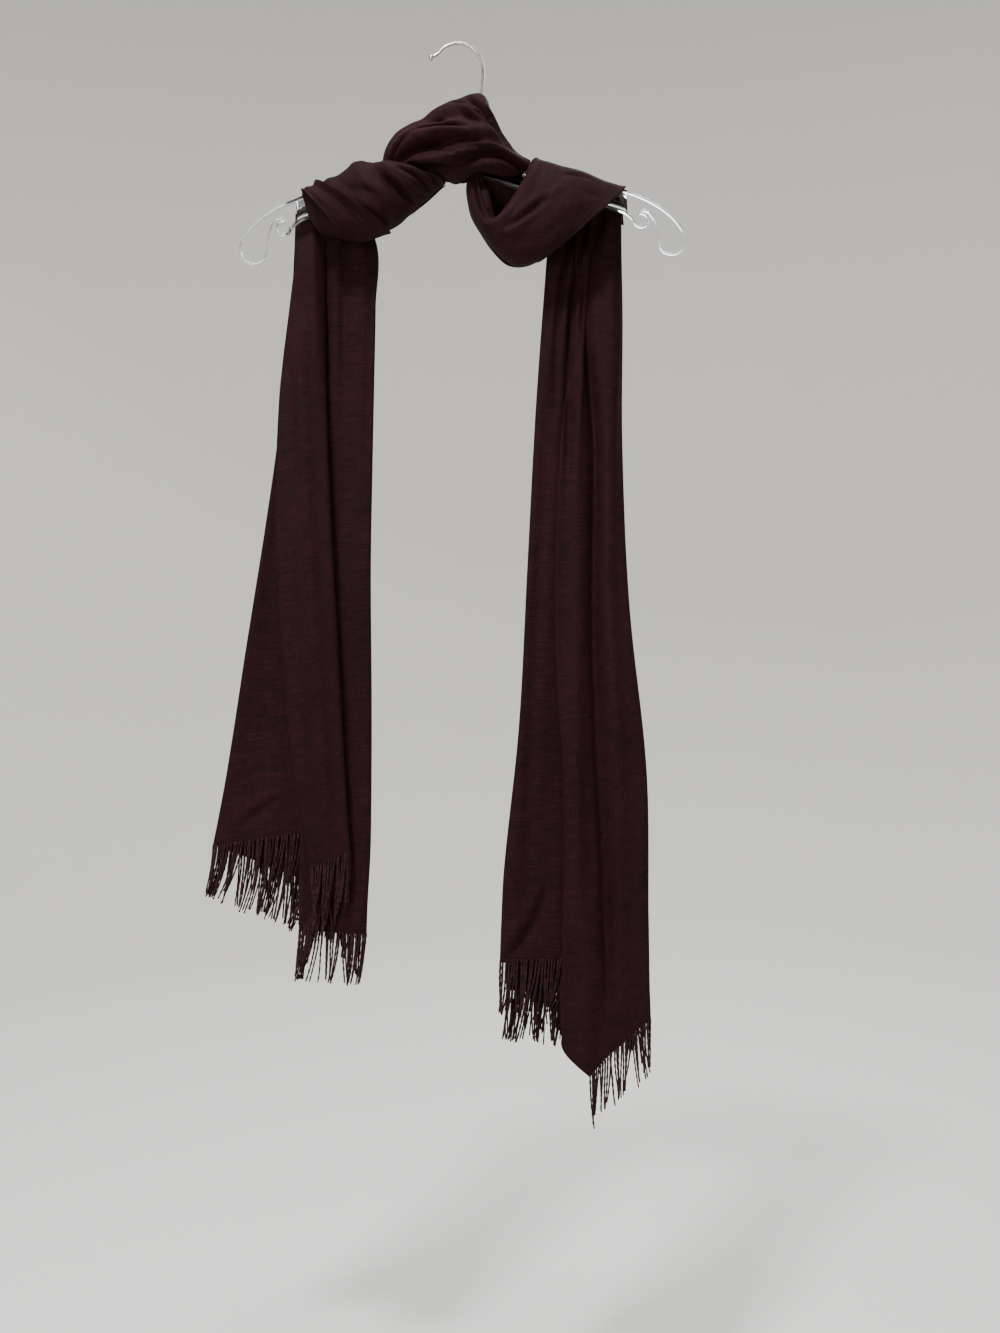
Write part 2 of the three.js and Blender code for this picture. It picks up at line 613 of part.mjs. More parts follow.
// A flat bar of the hanger that follows a line of points in the hanger's plane.
function ribbonSolid(line, thickness, depth) {
  const curve = new THREE.CatmullRomCurve3(line.map(([x, z]) => new THREE.Vector3(x, z, 0)));
  const count = Math.round(line.length * 1.3);
  const left = [];
  const right = [];
  for (let i = 0; i <= count; i++) {
    const p = curve.getPoint(i / count);
    const d = curve.getTangent(i / count);
    left.push(new THREE.Vector2(p.x - (d.y * thickness) / 2, p.y + (d.x * thickness) / 2));
    right.unshift(new THREE.Vector2(p.x + (d.y * thickness) / 2, p.y - (d.x * thickness) / 2));
  }
  return plateSolid([...left, ...right], depth);
}

// A plate with its outline in the hanger's plane, half its depth to each side.
function plateSolid(outline, depth, segments = 1) {
  const shape = new THREE.Shape(outline);
  const geometry = new THREE.ExtrudeGeometry(shape, { depth, bevelEnabled: false, curveSegments: segments });
  geometry.translate(0, 0, -depth / 2);
  geometry.rotateX(Math.PI / 2);
  geometry.deleteAttribute("normal");
  geometry.deleteAttribute("uv");
  return solidOf(mergeVertices(geometry, 1e-4));
}

function hangerSolid() {
  const mirrored = (line) => line.map(([x, z]) => [-x, z]).reverse();
  const pieces = [];
  for (const side of [1, -1]) {
    const flip = (line) => (side === 1 ? line : mirrored(line));
    pieces.push(ribbonSolid(flip(HANGER_RAIL), RAIL_THICKNESS, RAIL_DEPTH));
    pieces.push(ribbonSolid(flip(HANGER_LOWER_RAIL), RAIL_THICKNESS, RAIL_DEPTH));
    const { x, z, radius } = HANGER_SCROLL;
    const ring = Array.from({ length: 12 }, (_, i) => {
      const turn = 1.9 - (i / 11) * 5.2;
      return [x + radius * Math.cos(turn), z + radius * Math.sin(turn)];
    });
    pieces.push(ribbonSolid(flip(ring), RAIL_THICKNESS, RAIL_DEPTH));
    const web = [...HANGER_RAIL.slice(0, 7), ...HANGER_LOWER_RAIL.slice(0, 6).reverse()];
    pieces.push(plateSolid(web.map(([px, pz]) => new THREE.Vector2(side * px, pz)), WEB_DEPTH));
  }
  const boss = new THREE.CylinderGeometry(BOSS_RADIUS * 0.8, BOSS_RADIUS, 16, 20);
  boss.rotateX(Math.PI / 2);
  boss.translate(0, 0, RAIL_CREST + 4);
  boss.deleteAttribute("normal");
  boss.deleteAttribute("uv");
  pieces.push(solidOf(mergeVertices(boss, 1e-4)));
  const tilt = (solid) => solid.rotate([0, -HANGER_TILT, 0]);
  const bore = hookSolid(HOOK_WIRE / 2 + 0.3, false).translate([0, 0, -0.4]);
  return tilt(joined(pieces)).subtract(bore);
}

// ---------------------------------------------------------------- the hook
const HOOK_STEM = [
  [2.2, -94], [2, -84], [6, -74], [15, -62], [21, -50], [23.2, -36],
];

function hookSolid(radius, withTip) {
  const centre = HOOK_WIRE / 2 - HOOK_RADIUS;
  const points = HOOK_STEM.map(([x, z]) => new THREE.Vector3(x, 0, z));
  for (const degrees of [0, 30, 60, 90, 120, 145])
    points.push(
      new THREE.Vector3(
        HOOK_RADIUS * Math.cos(THREE.MathUtils.degToRad(degrees)),
        0,
        centre + HOOK_RADIUS * Math.sin(THREE.MathUtils.degToRad(degrees)),
      ),
    );
  points.push(new THREE.Vector3(HOOK_TIP.x, 0, HOOK_TIP.z));
  const curve = new THREE.CatmullRomCurve3(points, false, "centripetal");
  const section = new THREE.Shape();
  section.absarc(0, 0, radius, 0, 2 * Math.PI, false);
  const wire = new THREE.ExtrudeGeometry(section, {
    steps: 26,
    curveSegments: 4,
    extrudePath: curve,
    bevelEnabled: false,
  });
  wire.deleteAttribute("normal");
  wire.deleteAttribute("uv");
  const solid = solidOf(mergeVertices(wire, 1e-4));
  if (!withTip) return solid;
  const ball = new THREE.SphereGeometry(HOOK_TIP.radius, 10, 8);
  ball.translate(HOOK_TIP.x, 0, HOOK_TIP.z);
  ball.deleteAttribute("normal");
  ball.deleteAttribute("uv");
  return solid.add(solidOf(mergeVertices(ball, 1e-4)));
}

// ---------------------------------------------------------------- the object
const cloth = () => new THREE.MeshStandardMaterial({ color: 0x3a1f23, roughness: 0.85, metalness: 0 });
const clearPlastic = () =>
  new THREE.MeshStandardMaterial({
    color: 0xe8ecec, roughness: 0.08, metalness: 0, transparent: true, opacity: 0.35,
  });
const steel = () => new THREE.MeshStandardMaterial({ color: 0xb8b0a8, roughness: 0.25, metalness: 1 });

const scarf = new THREE.Group();

function place(name, geometry, material) {
  const solid = solidOf(geometry);
  if (solid.volume() < 0) geometry.index.array.reverse();
  const mesh = new THREE.Mesh(geometry, material);
  mesh.name = name;
  scarf.add(mesh);
}

place("hanger", geometryOf(hangerSolid()), clearPlastic());
place("hook", geometryOf(hookSolid(HOOK_WIRE / 2, true)), steel());
place("left_tail", wallGeometry(tailSheet(LEFT_TAIL, 0, 1, 12), TAIL_WALL), cloth());
place("right_tail", wallGeometry(tailSheet(RIGHT_TAIL, 0, 1, 14), TAIL_WALL), cloth());
place("left_fringe", geometryOf(fringeSolid(LEFT_TAIL)), cloth());
place("right_fringe", geometryOf(fringeSolid(RIGHT_TAIL)), cloth());
place("left_inner_wrap", wallGeometry(wrapSheet(LEFT_INNER_WRAP, 14, 18), WRAP_WALL), cloth());
place("left_outer_wrap", wallGeometry(wrapSheet(LEFT_OUTER_WRAP, 8, 18), WRAP_WALL), cloth());
place("right_band", wallGeometry(wrapSheet(RIGHT_BAND, 24, 14), WRAP_WALL), cloth());
place("right_loop", wallGeometry(loopSheet(10, 9), WRAP_WALL), cloth());
const neck = solidOf(wallGeometry(wrapSheet(NECK_WRAP, 24, 28), NECK_WALL));
place("neck_wrap", geometryOf(neck.subtract(hookSolid(HOOK_WIRE / 2 + 0.6, false))), cloth());

export default scarf;
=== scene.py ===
"""A long fringed scarf wound round a clear plastic clothes hanger with a wire hook, hanging free.
Tables are in millimetres in the row frame: +X right, +Y back, +Z up, origin inside the hook's top. Each
piece of cloth is a sheet of points, built from its table and then given a thin closed wall."""

import math

import bmesh
import bpy
import numpy as np
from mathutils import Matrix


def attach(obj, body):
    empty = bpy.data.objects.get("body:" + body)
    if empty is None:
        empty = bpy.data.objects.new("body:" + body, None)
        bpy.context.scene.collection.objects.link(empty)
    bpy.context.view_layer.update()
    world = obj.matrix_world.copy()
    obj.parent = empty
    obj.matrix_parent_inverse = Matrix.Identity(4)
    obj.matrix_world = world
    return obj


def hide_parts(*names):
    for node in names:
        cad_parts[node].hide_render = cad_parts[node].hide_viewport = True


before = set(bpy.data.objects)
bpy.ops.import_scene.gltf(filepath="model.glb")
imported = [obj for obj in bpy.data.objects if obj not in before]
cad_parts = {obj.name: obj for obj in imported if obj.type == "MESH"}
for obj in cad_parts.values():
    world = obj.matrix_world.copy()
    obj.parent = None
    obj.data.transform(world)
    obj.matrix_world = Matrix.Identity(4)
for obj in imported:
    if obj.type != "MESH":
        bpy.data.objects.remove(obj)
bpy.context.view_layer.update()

MM = 0.001

# ---------------------------------------------------------------- small helpers


def mix(a, b, t):
    return a + (b - a) * t


def ease(t):
    return (1 - np.cos(np.pi * np.clip(t, 0, 1))) / 2


def bell(v):
    return np.exp(-v * v)


def scatter(n):
    """A repeatable number from -1 to 1 for the nth of something."""
    s = np.sin(np.asarray(n) * 12.9898) * 43758.5453
    return 2 * (s - np.floor(s)) - 1


def along(stations, values, t):
    """A smooth curve through values at stations, each slope taken from the two neighbours."""
    s = np.asarray(stations, float)
    v = np.asarray(values, float)
    last = len(s) - 1
    low = np.maximum(np.arange(last + 1) - 1, 0)
    high = np.minimum(np.arange(last + 1) + 1, last)
    slope = (v[high] - v[low]) / (s[high] - s[low])
    t = np.asarray(t, float)
    k = np.clip(np.searchsorted(s, t, side="left") - 1, 0, last - 1)
    h = s[k + 1] - s[k]
    a = np.clip((t - s[k]) / h, 0, 1)
    a2, a3 = a * a, a * a * a
    return (
        v[k] * (2 * a3 - 3 * a2 + 1)
        + slope[k] * h * (a3 - 2 * a2 + a)
        + v[k + 1] * (3 * a2 - 2 * a3)
        + slope[k + 1] * h * (a3 - a2)
    )


def rumple(a, b, seed):
    """Soft uneven wrinkles, about -1 to 1, over two distances in millimetres."""
    return (
        0.45 * np.sin(a / 9.1 + 1.9 * np.sin(b / 31.0 + seed) + seed)
        + 0.3 * np.sin(a / 5.3 - b / 47.0 + 1.3 * np.sin(b / 17.0) + 2.1 * seed)
        + 0.25 * np.sin(b / 12.7 + 1.6 * np.sin(a / 13.0 + seed) + 3.3 * seed)
    )


def line_distance(line, x, z):
    """Distance from points to a line of corners, the share of the line there, and the height above it."""
    nearest = np.full(np.shape(x), 1e9)
    share = np.zeros(np.shape(x))
    above = np.zeros(np.shape(x))
    count = len(line) - 1
    for i in range(count):
        (ax, az), (bx, bz) = line[i], line[i + 1]
        length = (bx - ax) ** 2 + (bz - az) ** 2
        t = np.clip(((x - ax) * (bx - ax) + (z - az) * (bz - az)) / length, 0, 1)
        d = np.hypot(x - mix(ax, bx, t), z - mix(az, bz, t))
        closer = d < nearest
        share = np.where(closer, (i + t) / count, share)
        side = ((bx - ax) * (z - az) - (bz - az) * (x - ax)) / math.sqrt(length)
        above = np.where(closer, side if bx > ax else -side, above)
        nearest = np.where(closer, d, nearest)
    return nearest, share, above


# The lap above a valley, in the valley's depths and widths, and the share of a crease left at its ends.
LAP, LAP_WIDTH, CREASE_END = 0.9, 1.5, 0.3


def crease_depth(creases, x, z):
    """The sum of the listed creases. The cloth above a valley laps over it a little."""
    total = np.zeros(np.shape(x))
    for height, width, *corners in creases:
        d, share, above = line_distance(list(zip(corners[::2], corners[1::2])), x, z)
        fade = CREASE_END + (1 - CREASE_END) * np.sin(np.pi * share)
        total += height * bell(d / width) * fade
        if height < 0:
            lap = LAP_WIDTH * width
            total -= LAP * height * fade * above / lap * bell(d / lap)
    return total


def grid_normals(grid):
    rows = np.arange(grid.shape[0])
    cols = np.arange(grid.shape[1])
    down = grid[np.minimum(rows + 1, rows[-1])] - grid[np.maximum(rows - 1, 0)]
    across = grid[:, np.minimum(cols + 1, cols[-1])] - grid[:, np.maximum(cols - 1, 0)]
    n = np.cross(down, across)
    return n / np.maximum(np.linalg.norm(n, axis=2, keepdims=True), 1e-9)


# ---------------------------------------------------------------- meshes


def add_object(name, mesh):
    made = bpy.data.objects.new(name, mesh)
    bpy.context.scene.collection.objects.link(made)
    return made


def shade_smooth(mesh):
    mesh.polygons.foreach_set("use_smooth", [True] * len(mesh.polygons))
    mesh.update()


def finish_mesh(name, mesh):
    """A smooth shaded piece of a mesh, riding on the one body."""
    shade_smooth(mesh)
    made = add_object(name, mesh)
    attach(made, "root")
    return made


def woven_mesh(name, verts, faces, weave):
    """A piece of four-sided faces with a weave attribute."""
    mesh = bpy.data.meshes.new(name)
    verts = np.asarray(verts, float) * MM
    faces = np.asarray(faces, np.int32)
    mesh.vertices.add(len(verts))
    mesh.vertices.foreach_set("co", verts.ravel())
    mesh.loops.add(faces.size)
    mesh.loops.foreach_set("vertex_index", faces.ravel())
    mesh.polygons.add(len(faces))
    mesh.polygons.foreach_set("loop_start", np.arange(len(faces), dtype=np.int32) * faces.shape[1])
    mesh.update(calc_edges=True)
    mesh.validate()
    data = mesh.attributes.new("weave", "FLOAT_VECTOR", "POINT")
    data.data.foreach_set("vector", weave.ravel())
    return finish_mesh(name, mesh)


# How closely the weave follows the sheet's mean width and length, not each row's own.
WEAVE_STRAIGHT = 0.9


def shell(name, grid, thickness, offset=(0, 0)):
    """A closed wall round a sheet of points. Its weave attribute is the place across and along the cloth
    in metres, counted from offset, and the distance to a side edge."""
    rows, cols = grid.shape[:2]
    out = grid_normals(grid) * (thickness / 2)
    verts = np.concatenate([(grid + out).reshape(-1, 3), (grid - out).reshape(-1, 3)])
    i, j = np.meshgrid(np.arange(rows - 1), np.arange(cols - 1), indexing="ij")
    a = (i * cols + j).ravel()
    b, c, d = a + cols, a + cols + 1, a + 1
    back = rows * cols
    front_faces = np.stack([a, b, c, d], 1)
    back_faces = np.stack([a, d, c, b], 1) + back
    r = np.arange(rows - 1) * cols
    left = np.stack([r, r + back, r + cols + back, r + cols], 1)
    e = r + cols - 1
    right = np.stack([e, e + cols, e + cols + back, e + back], 1)
    q = np.arange(cols - 1)
    top = np.stack([q, q + 1, q + 1 + back, q + back], 1)
    w = (rows - 1) * cols + q
    bottom = np.stack([w, w + back, w + 1 + back, w + 1], 1)
    faces = np.concatenate([front_faces, back_faces, left, right, top, bottom])
    step_u = np.linalg.norm(np.diff(grid, axis=1), axis=2)
    step_v = np.linalg.norm(np.diff(grid, axis=0), axis=2)
    u = np.concatenate([np.zeros((rows, 1)), np.cumsum(step_u, axis=1)], axis=1)
    v = np.concatenate([np.zeros((1, cols)), np.cumsum(step_v, axis=0)], axis=0)
    u = mix(u, np.broadcast_to(u.mean(axis=0), u.shape), WEAVE_STRAIGHT)
    v = mix(v, np.broadcast_to(v.mean(axis=1, keepdims=True), v.shape), WEAVE_STRAIGHT)
    edge = np.minimum(u, u[:, -1:] - u)
    weave = np.stack([u * MM + offset[0], v * MM + offset[1], edge * MM], 2).reshape(-1, 3)
    return woven_mesh(name, verts, faces, np.concatenate([weave, weave]))


# How far a tube's first and last ends bulge, in radii.
ROOT_BULGE, TIP_BULGE = 0.3, 0.6


def tubes(name, paths, sides):
    """One piece of closed tubes. Each path is points, radii, turns and the flatness of its oval section."""
    verts, quads, tris, base = [], [], [], 0
    angle = np.arange(sides) * 2 * math.pi / sides
    for points, radii, turns, flat in paths:
        n = len(points)
        tangent = np.gradient(points, axis=0)
        tangent /= np.maximum(np.linalg.norm(tangent, axis=1, keepdims=True), 1e-9)
        side = np.cross(tangent, [0.0, 1.0, 0.0])
        weak = np.linalg.norm(side, axis=1) < 1e-3
        side[weak] = [1.0, 0.0, 0.0]
        side /= np.linalg.norm(side, axis=1, keepdims=True)
        other = np.cross(tangent, side)
        r = radii[:, None] * (1 + flat * np.cos(2 * (angle[None, :] - turns[:, None])))
        ring = (
            points[:, None, :]
            + side[:, None, :] * (r * np.cos(angle))[:, :, None]
            + other[:, None, :] * (r * np.sin(angle))[:, :, None]
        )
        caps = np.stack([
            points[0] - tangent[0] * radii[0] * ROOT_BULGE,
            points[-1] + tangent[-1] * radii[-1] * TIP_BULGE,
        ])
        verts.append(np.concatenate([ring.reshape(-1, 3), caps]))
        i, j = np.meshgrid(np.arange(n - 1), np.arange(sides), indexing="ij")
        a = (i * sides + j).ravel()
        b = (i * sides + (j + 1) % sides).ravel()
        quads.append(np.stack([a, b, b + sides, a + sides], 1) + base)
        j = np.arange(sides)
        following = (j + 1) % sides
        end = (n - 1) * sides
        root_cap, tip_cap = np.full(sides, n * sides), np.full(sides, n * sides + 1)
        tris.append(np.stack([j, root_cap, following], 1) + base)
        tris.append(np.stack([end + j, end + following, tip_cap], 1) + base)
        base += n * sides + 2
    mesh = bpy.data.meshes.new(name)
    faces = np.concatenate(quads).tolist() + np.concatenate(tris).tolist()
    mesh.from_pydata((np.concatenate(verts) * MM).tolist(), [], faces)
    return finish_mesh(name, mesh)


def finish_bmesh(name, bm):
    mesh = bpy.data.meshes.new(name)
    bm.to_mesh(mesh)
    bm.free()
    return add_object(name, mesh)


def ring_object(name, rings, closed=True):
    """Faces from ring to ring of points in metres, and a flat face at each end where it is closed."""
    bm = bmesh.new()
    made = [[bm.verts.new(point) for point in ring] for ring in rings]
    count = len(made[0])
    for low, high in zip(made, made[1:]):
        for k in range(count):
            after = (k + 1) % count
            bm.faces.new((low[k], low[after], high[after], high[k]))
    if closed:
        bm.faces.new(made[0][::-1])
        bm.faces.new(made[-1])
        bmesh.ops.recalc_face_normals(bm, faces=bm.faces)
    return finish_bmesh(name, bm)


# ---------------------------------------------------------------- the tails
# The hanger's rail: the height of its crest, its fall to each side, and the tilt of the whole hanger.
RAIL_CREST, RAIL_FALL, TILT = -96, 0.3, math.radians(1.4)

# A tail's tables. Places are X at each of STATIONS, which run from the rail, 0, to the hem, 1. A shorter
# list keeps its last place.
# front, pitch: the first layer's Y and the step from layer to layer, at the rail and lower down.
# corner: how far the first edge is drawn aside just above the hem.
# rows: each edge, fold or soft bend, as the cloth runs: kind, places, the hem's height, push back.
# ridges: the main forms: places, width, height, until.
# folds: finer ones, and valleys where the height is below 0: places, width, height, from, until.
# creases: height, width, then their line's corners as x, z, x, z and so on.
STATIONS = [0, 0.06, 0.15, 0.3, 0.5, 0.7, 0.88, 0.96, 1]

LEFT_TAIL = {
    "front": (10.1, -9),
    "pitch": (2.6, 7),
    "corner": 0,
    "rows": [
        ("edge", [-150, -153, -160, -170, -172, -164, -153, -144, -140], -782, 0),
        ("fold", [-133, -129, -128, -126, -120, -113, -107, -104, -102], -767, 0),
        ("fold", [-144, -145, -147, -151, -153, -151, -150, -151], -842, 0),
        ("fold", [-112, -80, -80, -82, -84, -83, -84, -87, -88], -846, 0),
        ("bend", [-136, -126, -124, -128, -133, -139, -144, -148, -150], -751, 2),
        ("fold", [-157, -158, -161, -170, -186, -205, -222, -231, -236], -763, 0),
        ("fold", [-117, -91, -89, -92, -96, -101, -104, -106, -107], -812, 0),
        ("edge", [-150, -151, -152, -157, -165, -176, -186, -191, -194], -776, 0),
    ],
    "ridges": [
        ([-121, -118, -116, -115, -122, -118], 5, 5, 0.34),
        ([-146, -144, -143, -142, -144, -142, -140, -137, -136], 9, 3, 0.6),
        ([-103, -98, -95, -96, -98], 8, 4, 0.5),
        ([-148, -148, -148, -150, -152, -150, -148, -147, -146], 20, 5, 1.4),
    ],
    "folds": [
        ([-130, -128, -127, -127, -131], 3.2, -6.5, 0, 0.36),
        ([-113, -111, -110, -110, -112], 3, -6, 0, 0.36),
        ([-138, -137, -136, -135, -137, -138], 3, 1.6, 0.01, 0.42),
        ([-91, -90, -89, -89, -90], 3, 1.8, 0, 0.34),
        ([-86, -85, -85, -86, -87], 2.6, -2.4, 0, 0.5),
        ([-160, -160, -156, -150, -140, -131, -126, -124, -123], 6, 2.6, 0.16, 1.05),
        ([-166, -166, -164, -160, -150, -141, -134, -130, -128], 6, -2, 0.22, 0.98),
        ([-105, -105, -104, -104, -106, -104, -102, -101, -100], 9, -1.5, 0.2, 0.9),
        ([-176, -176, -176, -178, -186, -200, -214, -220, -224], 8, 1.6, 0.3, 1.2),
        ([-150, -151, -154, -160, -172, -184, -192, -196, -198], 10, -1.8, 0.28, 1.1),
    ],
    "creases": [
        (-3.2, 3.5, -207, -741, -190, -727, -173, -717), (1.6, 4, -212, -733, -192, -718, -176, -709),
        (-1.4, 6, -214, -640, -196, -690, -184, -742), (1.5, 5, -138, -600, -128, -680, -124, -760),
    ],
}

RIGHT_TAIL = {
    "front": (11.1, -12),
    "pitch": (2.6, 7),
    "corner": 5,
    "rows": [
        ("edge", [114, 112, 112, 97, 92, 100, 98, 99, 124], -976, 0),
        ("bend", [130, 128, 126, 131, 128, 133, 141, 142], -958, 2.5),
        ("fold", [156, 156, 157, 156, 162, 178, 180, 181, 182], -924, 0),
        ("bend", [126, 124, 121, 116, 111, 106, 102, 100, 99], -867, 2),
        ("fold", [98, 88, 82, 74, 66, 58, 44, 41, 40], -871, 0),
        ("fold", [152, 150, 149, 147, 150, 163, 169, 170, 171], -907, 0),
        ("fold", [102, 93, 88, 80, 72, 64, 50, 47, 46], -900, 0),
        ("fold", [145, 142, 139, 135, 135, 139, 142, 143, 144], -898, 0),
        ("edge", [110, 104, 98, 93, 87, 81, 74, 70, 68], -893, 0),
    ],
    "ridges": [
        ([104, 98, 93, 92], 5, 4, 0.3),
        ([122, 116, 103, 97, 94, 96], 5, 4.4, 0.4),
        ([137, 129, 119, 112, 108], 5.4, 3.6, 0.45),
        ([148, 147, 146, 143, 146, 156, 162, 163, 164], 9, 5, 1.3),
        ([104, 98, 92, 86, 82, 76, 68, 65, 64], 12, 4, 1.2),
    ],
    "folds": [
        ([113, 107, 97, 93, 90], 2.8, -6, 0, 0.36),
        ([118, 111, 103, 99, 96], 2.2, 3.5, 0, 0.34),
        ([127, 120, 108, 103, 100], 3, -6.5, 0, 0.42),
        ([132, 125.5, 119.5, 113, 109], 2, 4.5, 0, 0.42),
        ([139, 130, 120, 129.5, 130, 135, 140.5, 142], 4.6, -9, 0, 1),
        ([130, 122, 112, 112, 112, 110, 118, 120], 8, 3.6, 0.2, 1.2),
        ([148, 140, 134, 142, 142, 150, 156, 158], 7, 3, 0.1, 1.2),
        ([96, 90, 86, 80, 76], 3, -3.2, 0, 0.34),
        ([150, 152, 153, 150, 155, 168, 172, 174, 175], 2.4, -4.5, 0, 0.4),
        ([128, 126, 124, 120, 114], 6, 2.2, 0.14, 0.9),
        ([150, 150, 150, 148, 150, 158, 160, 161, 162], 7, -1.6, 0.35, 1.1),
        ([84, 84, 82, 76, 68, 60, 52, 50], 6, 1.8, 0.2, 1.1),
        ([92, 92, 90, 84, 78, 72, 66, 62, 60], 6, -2, 0.25, 1.1),
    ],
    "creases": [
        (-4.5, 3.2, 84, -800, 72, -830, 58, -852, 46, -864),
        (3, 4, 78, -796, 64, -824, 50, -846, 42, -858), (-2.2, 2.6, 143, -919, 151, -927, 160, -928),
        (1.8, 3, 146, -911, 155, -919, 166, -921), (-1.6, 7, 112, -800, 118, -860, 120, -930),
        (-4.5, 3, 137, -800, 140, -850, 141.5, -890, 142, -914),
    ],
}


def place_at(places, t):
    return along(STATIONS, places + places[-1:] * (len(STATIONS) - len(places)), t)


def rail_at(x):
    return RAIL_CREST - RAIL_FALL * abs(x) + x * math.sin(TILT)


# What each layer behind loses of ridges and folds, how soon a fold starts and runs out, how far it wanders,
# and how far the wrinkles stand.
RIDGE_LOSS, FOLD_LOSS = 0.16, 0.1
FOLD_START, FOLD_RUN_OUT = 0.05, 0.22
FOLD_WANDER, TAIL_RUMPLE = 1.5, 0.5


def tail_swell(tail, x, z, t, layer):
    """How far the cloth stands forward at a place: ridges, then folds, creases and wrinkles."""
    kept = 1 - RIDGE_LOSS * layer
    total = np.zeros(np.shape(x))
    for places, width, height, until in tail["ridges"]:
        strength = ease(t * 9) * (1 - ease(t / until) * 0.97)
        total += kept * height * strength * bell((x - place_at(places, t)) / width)
    fine = np.zeros(np.shape(x))
    for places, width, height, begin, until in tail["folds"]:
        window = ease((t - begin) / FOLD_START) if begin else ease(t * 16)
        window = window * (1 - ease((t - until + FOLD_RUN_OUT) / FOLD_RUN_OUT))
        wander = FOLD_WANDER * np.sin(t * 9 + height * 7)
        fine += height * window * bell((x - place_at(places, t) - wander) / width)
    room = mix(0.35, 1.0, ease(t * 3))
    fine += crease_depth(tail["creases"], x, z)
    fine += TAIL_RUMPLE * room * rumple(x, z, 1.7) * ease(t * 6)
    return total + fine * (1 - FOLD_LOSS * layer)


# Where a tail's corner is drawn aside, how far below the rail a tail starts, and each layer behind's drop.
CORNER_FROM, CORNER_RUN = 0.955, 0.045
BELOW_RAIL, LAYER_DROP = 3, 1.5


def tail_sheet(tail, levels, cell, arc_steps):
    """A tail as columns of points about a cell apart, from its first edge round each fold to its last."""
    share = np.arange(levels + 1) / levels
    t = mix(share, ease(share), 0.3)
    front = mix(*tail["front"], ease(t * 1.6))
    pitch = mix(*tail["pitch"], ease(t * 2.2))
    rows, layer = [], 0
    for kind, places, hem, push in tail["rows"]:
        before = layer
        layer += kind == "fold"
        top = rail_at(places[0]) - BELOW_RAIL - LAYER_DROP * before
        rows.append({
            "kind": kind,
            "x": place_at(places, t),
            "y": front + pitch * ((before + layer) / 2) + push * ease(t * 3),
            "z": mix(top, hem, t),
            "layer": before,
            "radius": pitch / 2 if kind == "fold" else np.zeros_like(pitch),
        })
    corner = np.sin(math.pi * np.clip((t - CORNER_FROM) / CORNER_RUN, 0, 1))
    rows[0]["x"] = rows[0]["x"] - tail["corner"] * corner
    columns = []

    def put(x, y, z, depth):
        columns.append(np.stack([x, y - tail_swell(tail, x, z, t, depth), z], 1))

    heading = np.sign(rows[1]["x"][0] - rows[0]["x"][0])
    for k, row in enumerate(rows):
        if row["kind"] == "fold":
            centre = row["x"] - heading * row["radius"]
            for i in range(arc_steps + 1):
                turn = -math.pi / 2 + math.pi * i / arc_steps
                x = centre + heading * row["radius"] * math.cos(turn)
                put(x, row["y"] + row["radius"] * math.sin(turn), row["z"], row["layer"] + i / arc_steps)
            heading = -heading
        else:
            put(row["x"], row["y"], row["z"], row["layer"])
        if k == len(rows) - 1:
            break
        after = rows[k + 1]
        x0, y0 = row["x"] + heading * row["radius"], row["y"] + row["radius"]
        x1, y1 = after["x"] - heading * after["radius"], after["y"] - after["radius"]
        steps = max(4, int(np.max(np.abs(x1 - x0)) / cell))
        for i in range(1, steps):
            s = i / steps
            put(mix(x0, x1, s), mix(y0, y1, ease(s)), mix(row["z"], after["z"], s), after["layer"])
    return np.stack(columns, 1)


# ---------------------------------------------------------------- the wound stretches
# A wrap is a row of rings from its first edge to its last. Each runs from its foot up the front to its
# head, the highest point, and down the back to its heel.
# rings: head x, z; foot x, z; heel x, z; depth in front and behind; middle y; the degrees that it starts
#     beyond the foot; and the share of the back that it covers, below 0 where it ends in front.
# sags: how far each ring's front hangs out below the line from head to foot.
# creases: as on the tails, on the front.
# pleats: place among the rings, wander along the ring, width, height, and from and until along the ring.
# lips: height and width of the swell along the first and the last edge.
# rim: height of the rolled hem where a ring ends in front.
# rear: height of the ripples on the back. rumple, seed: the fine wrinkles.
SAG_ASIDE, SAG_DOWN = 0.65, 0.76
FRONT_ROUNDNESS, BACK_ROUNDNESS = 0.86, 0.74
RIM_WIDTH, RIPPLES, PLEAT_FADE = 4.5, 12, 0.12


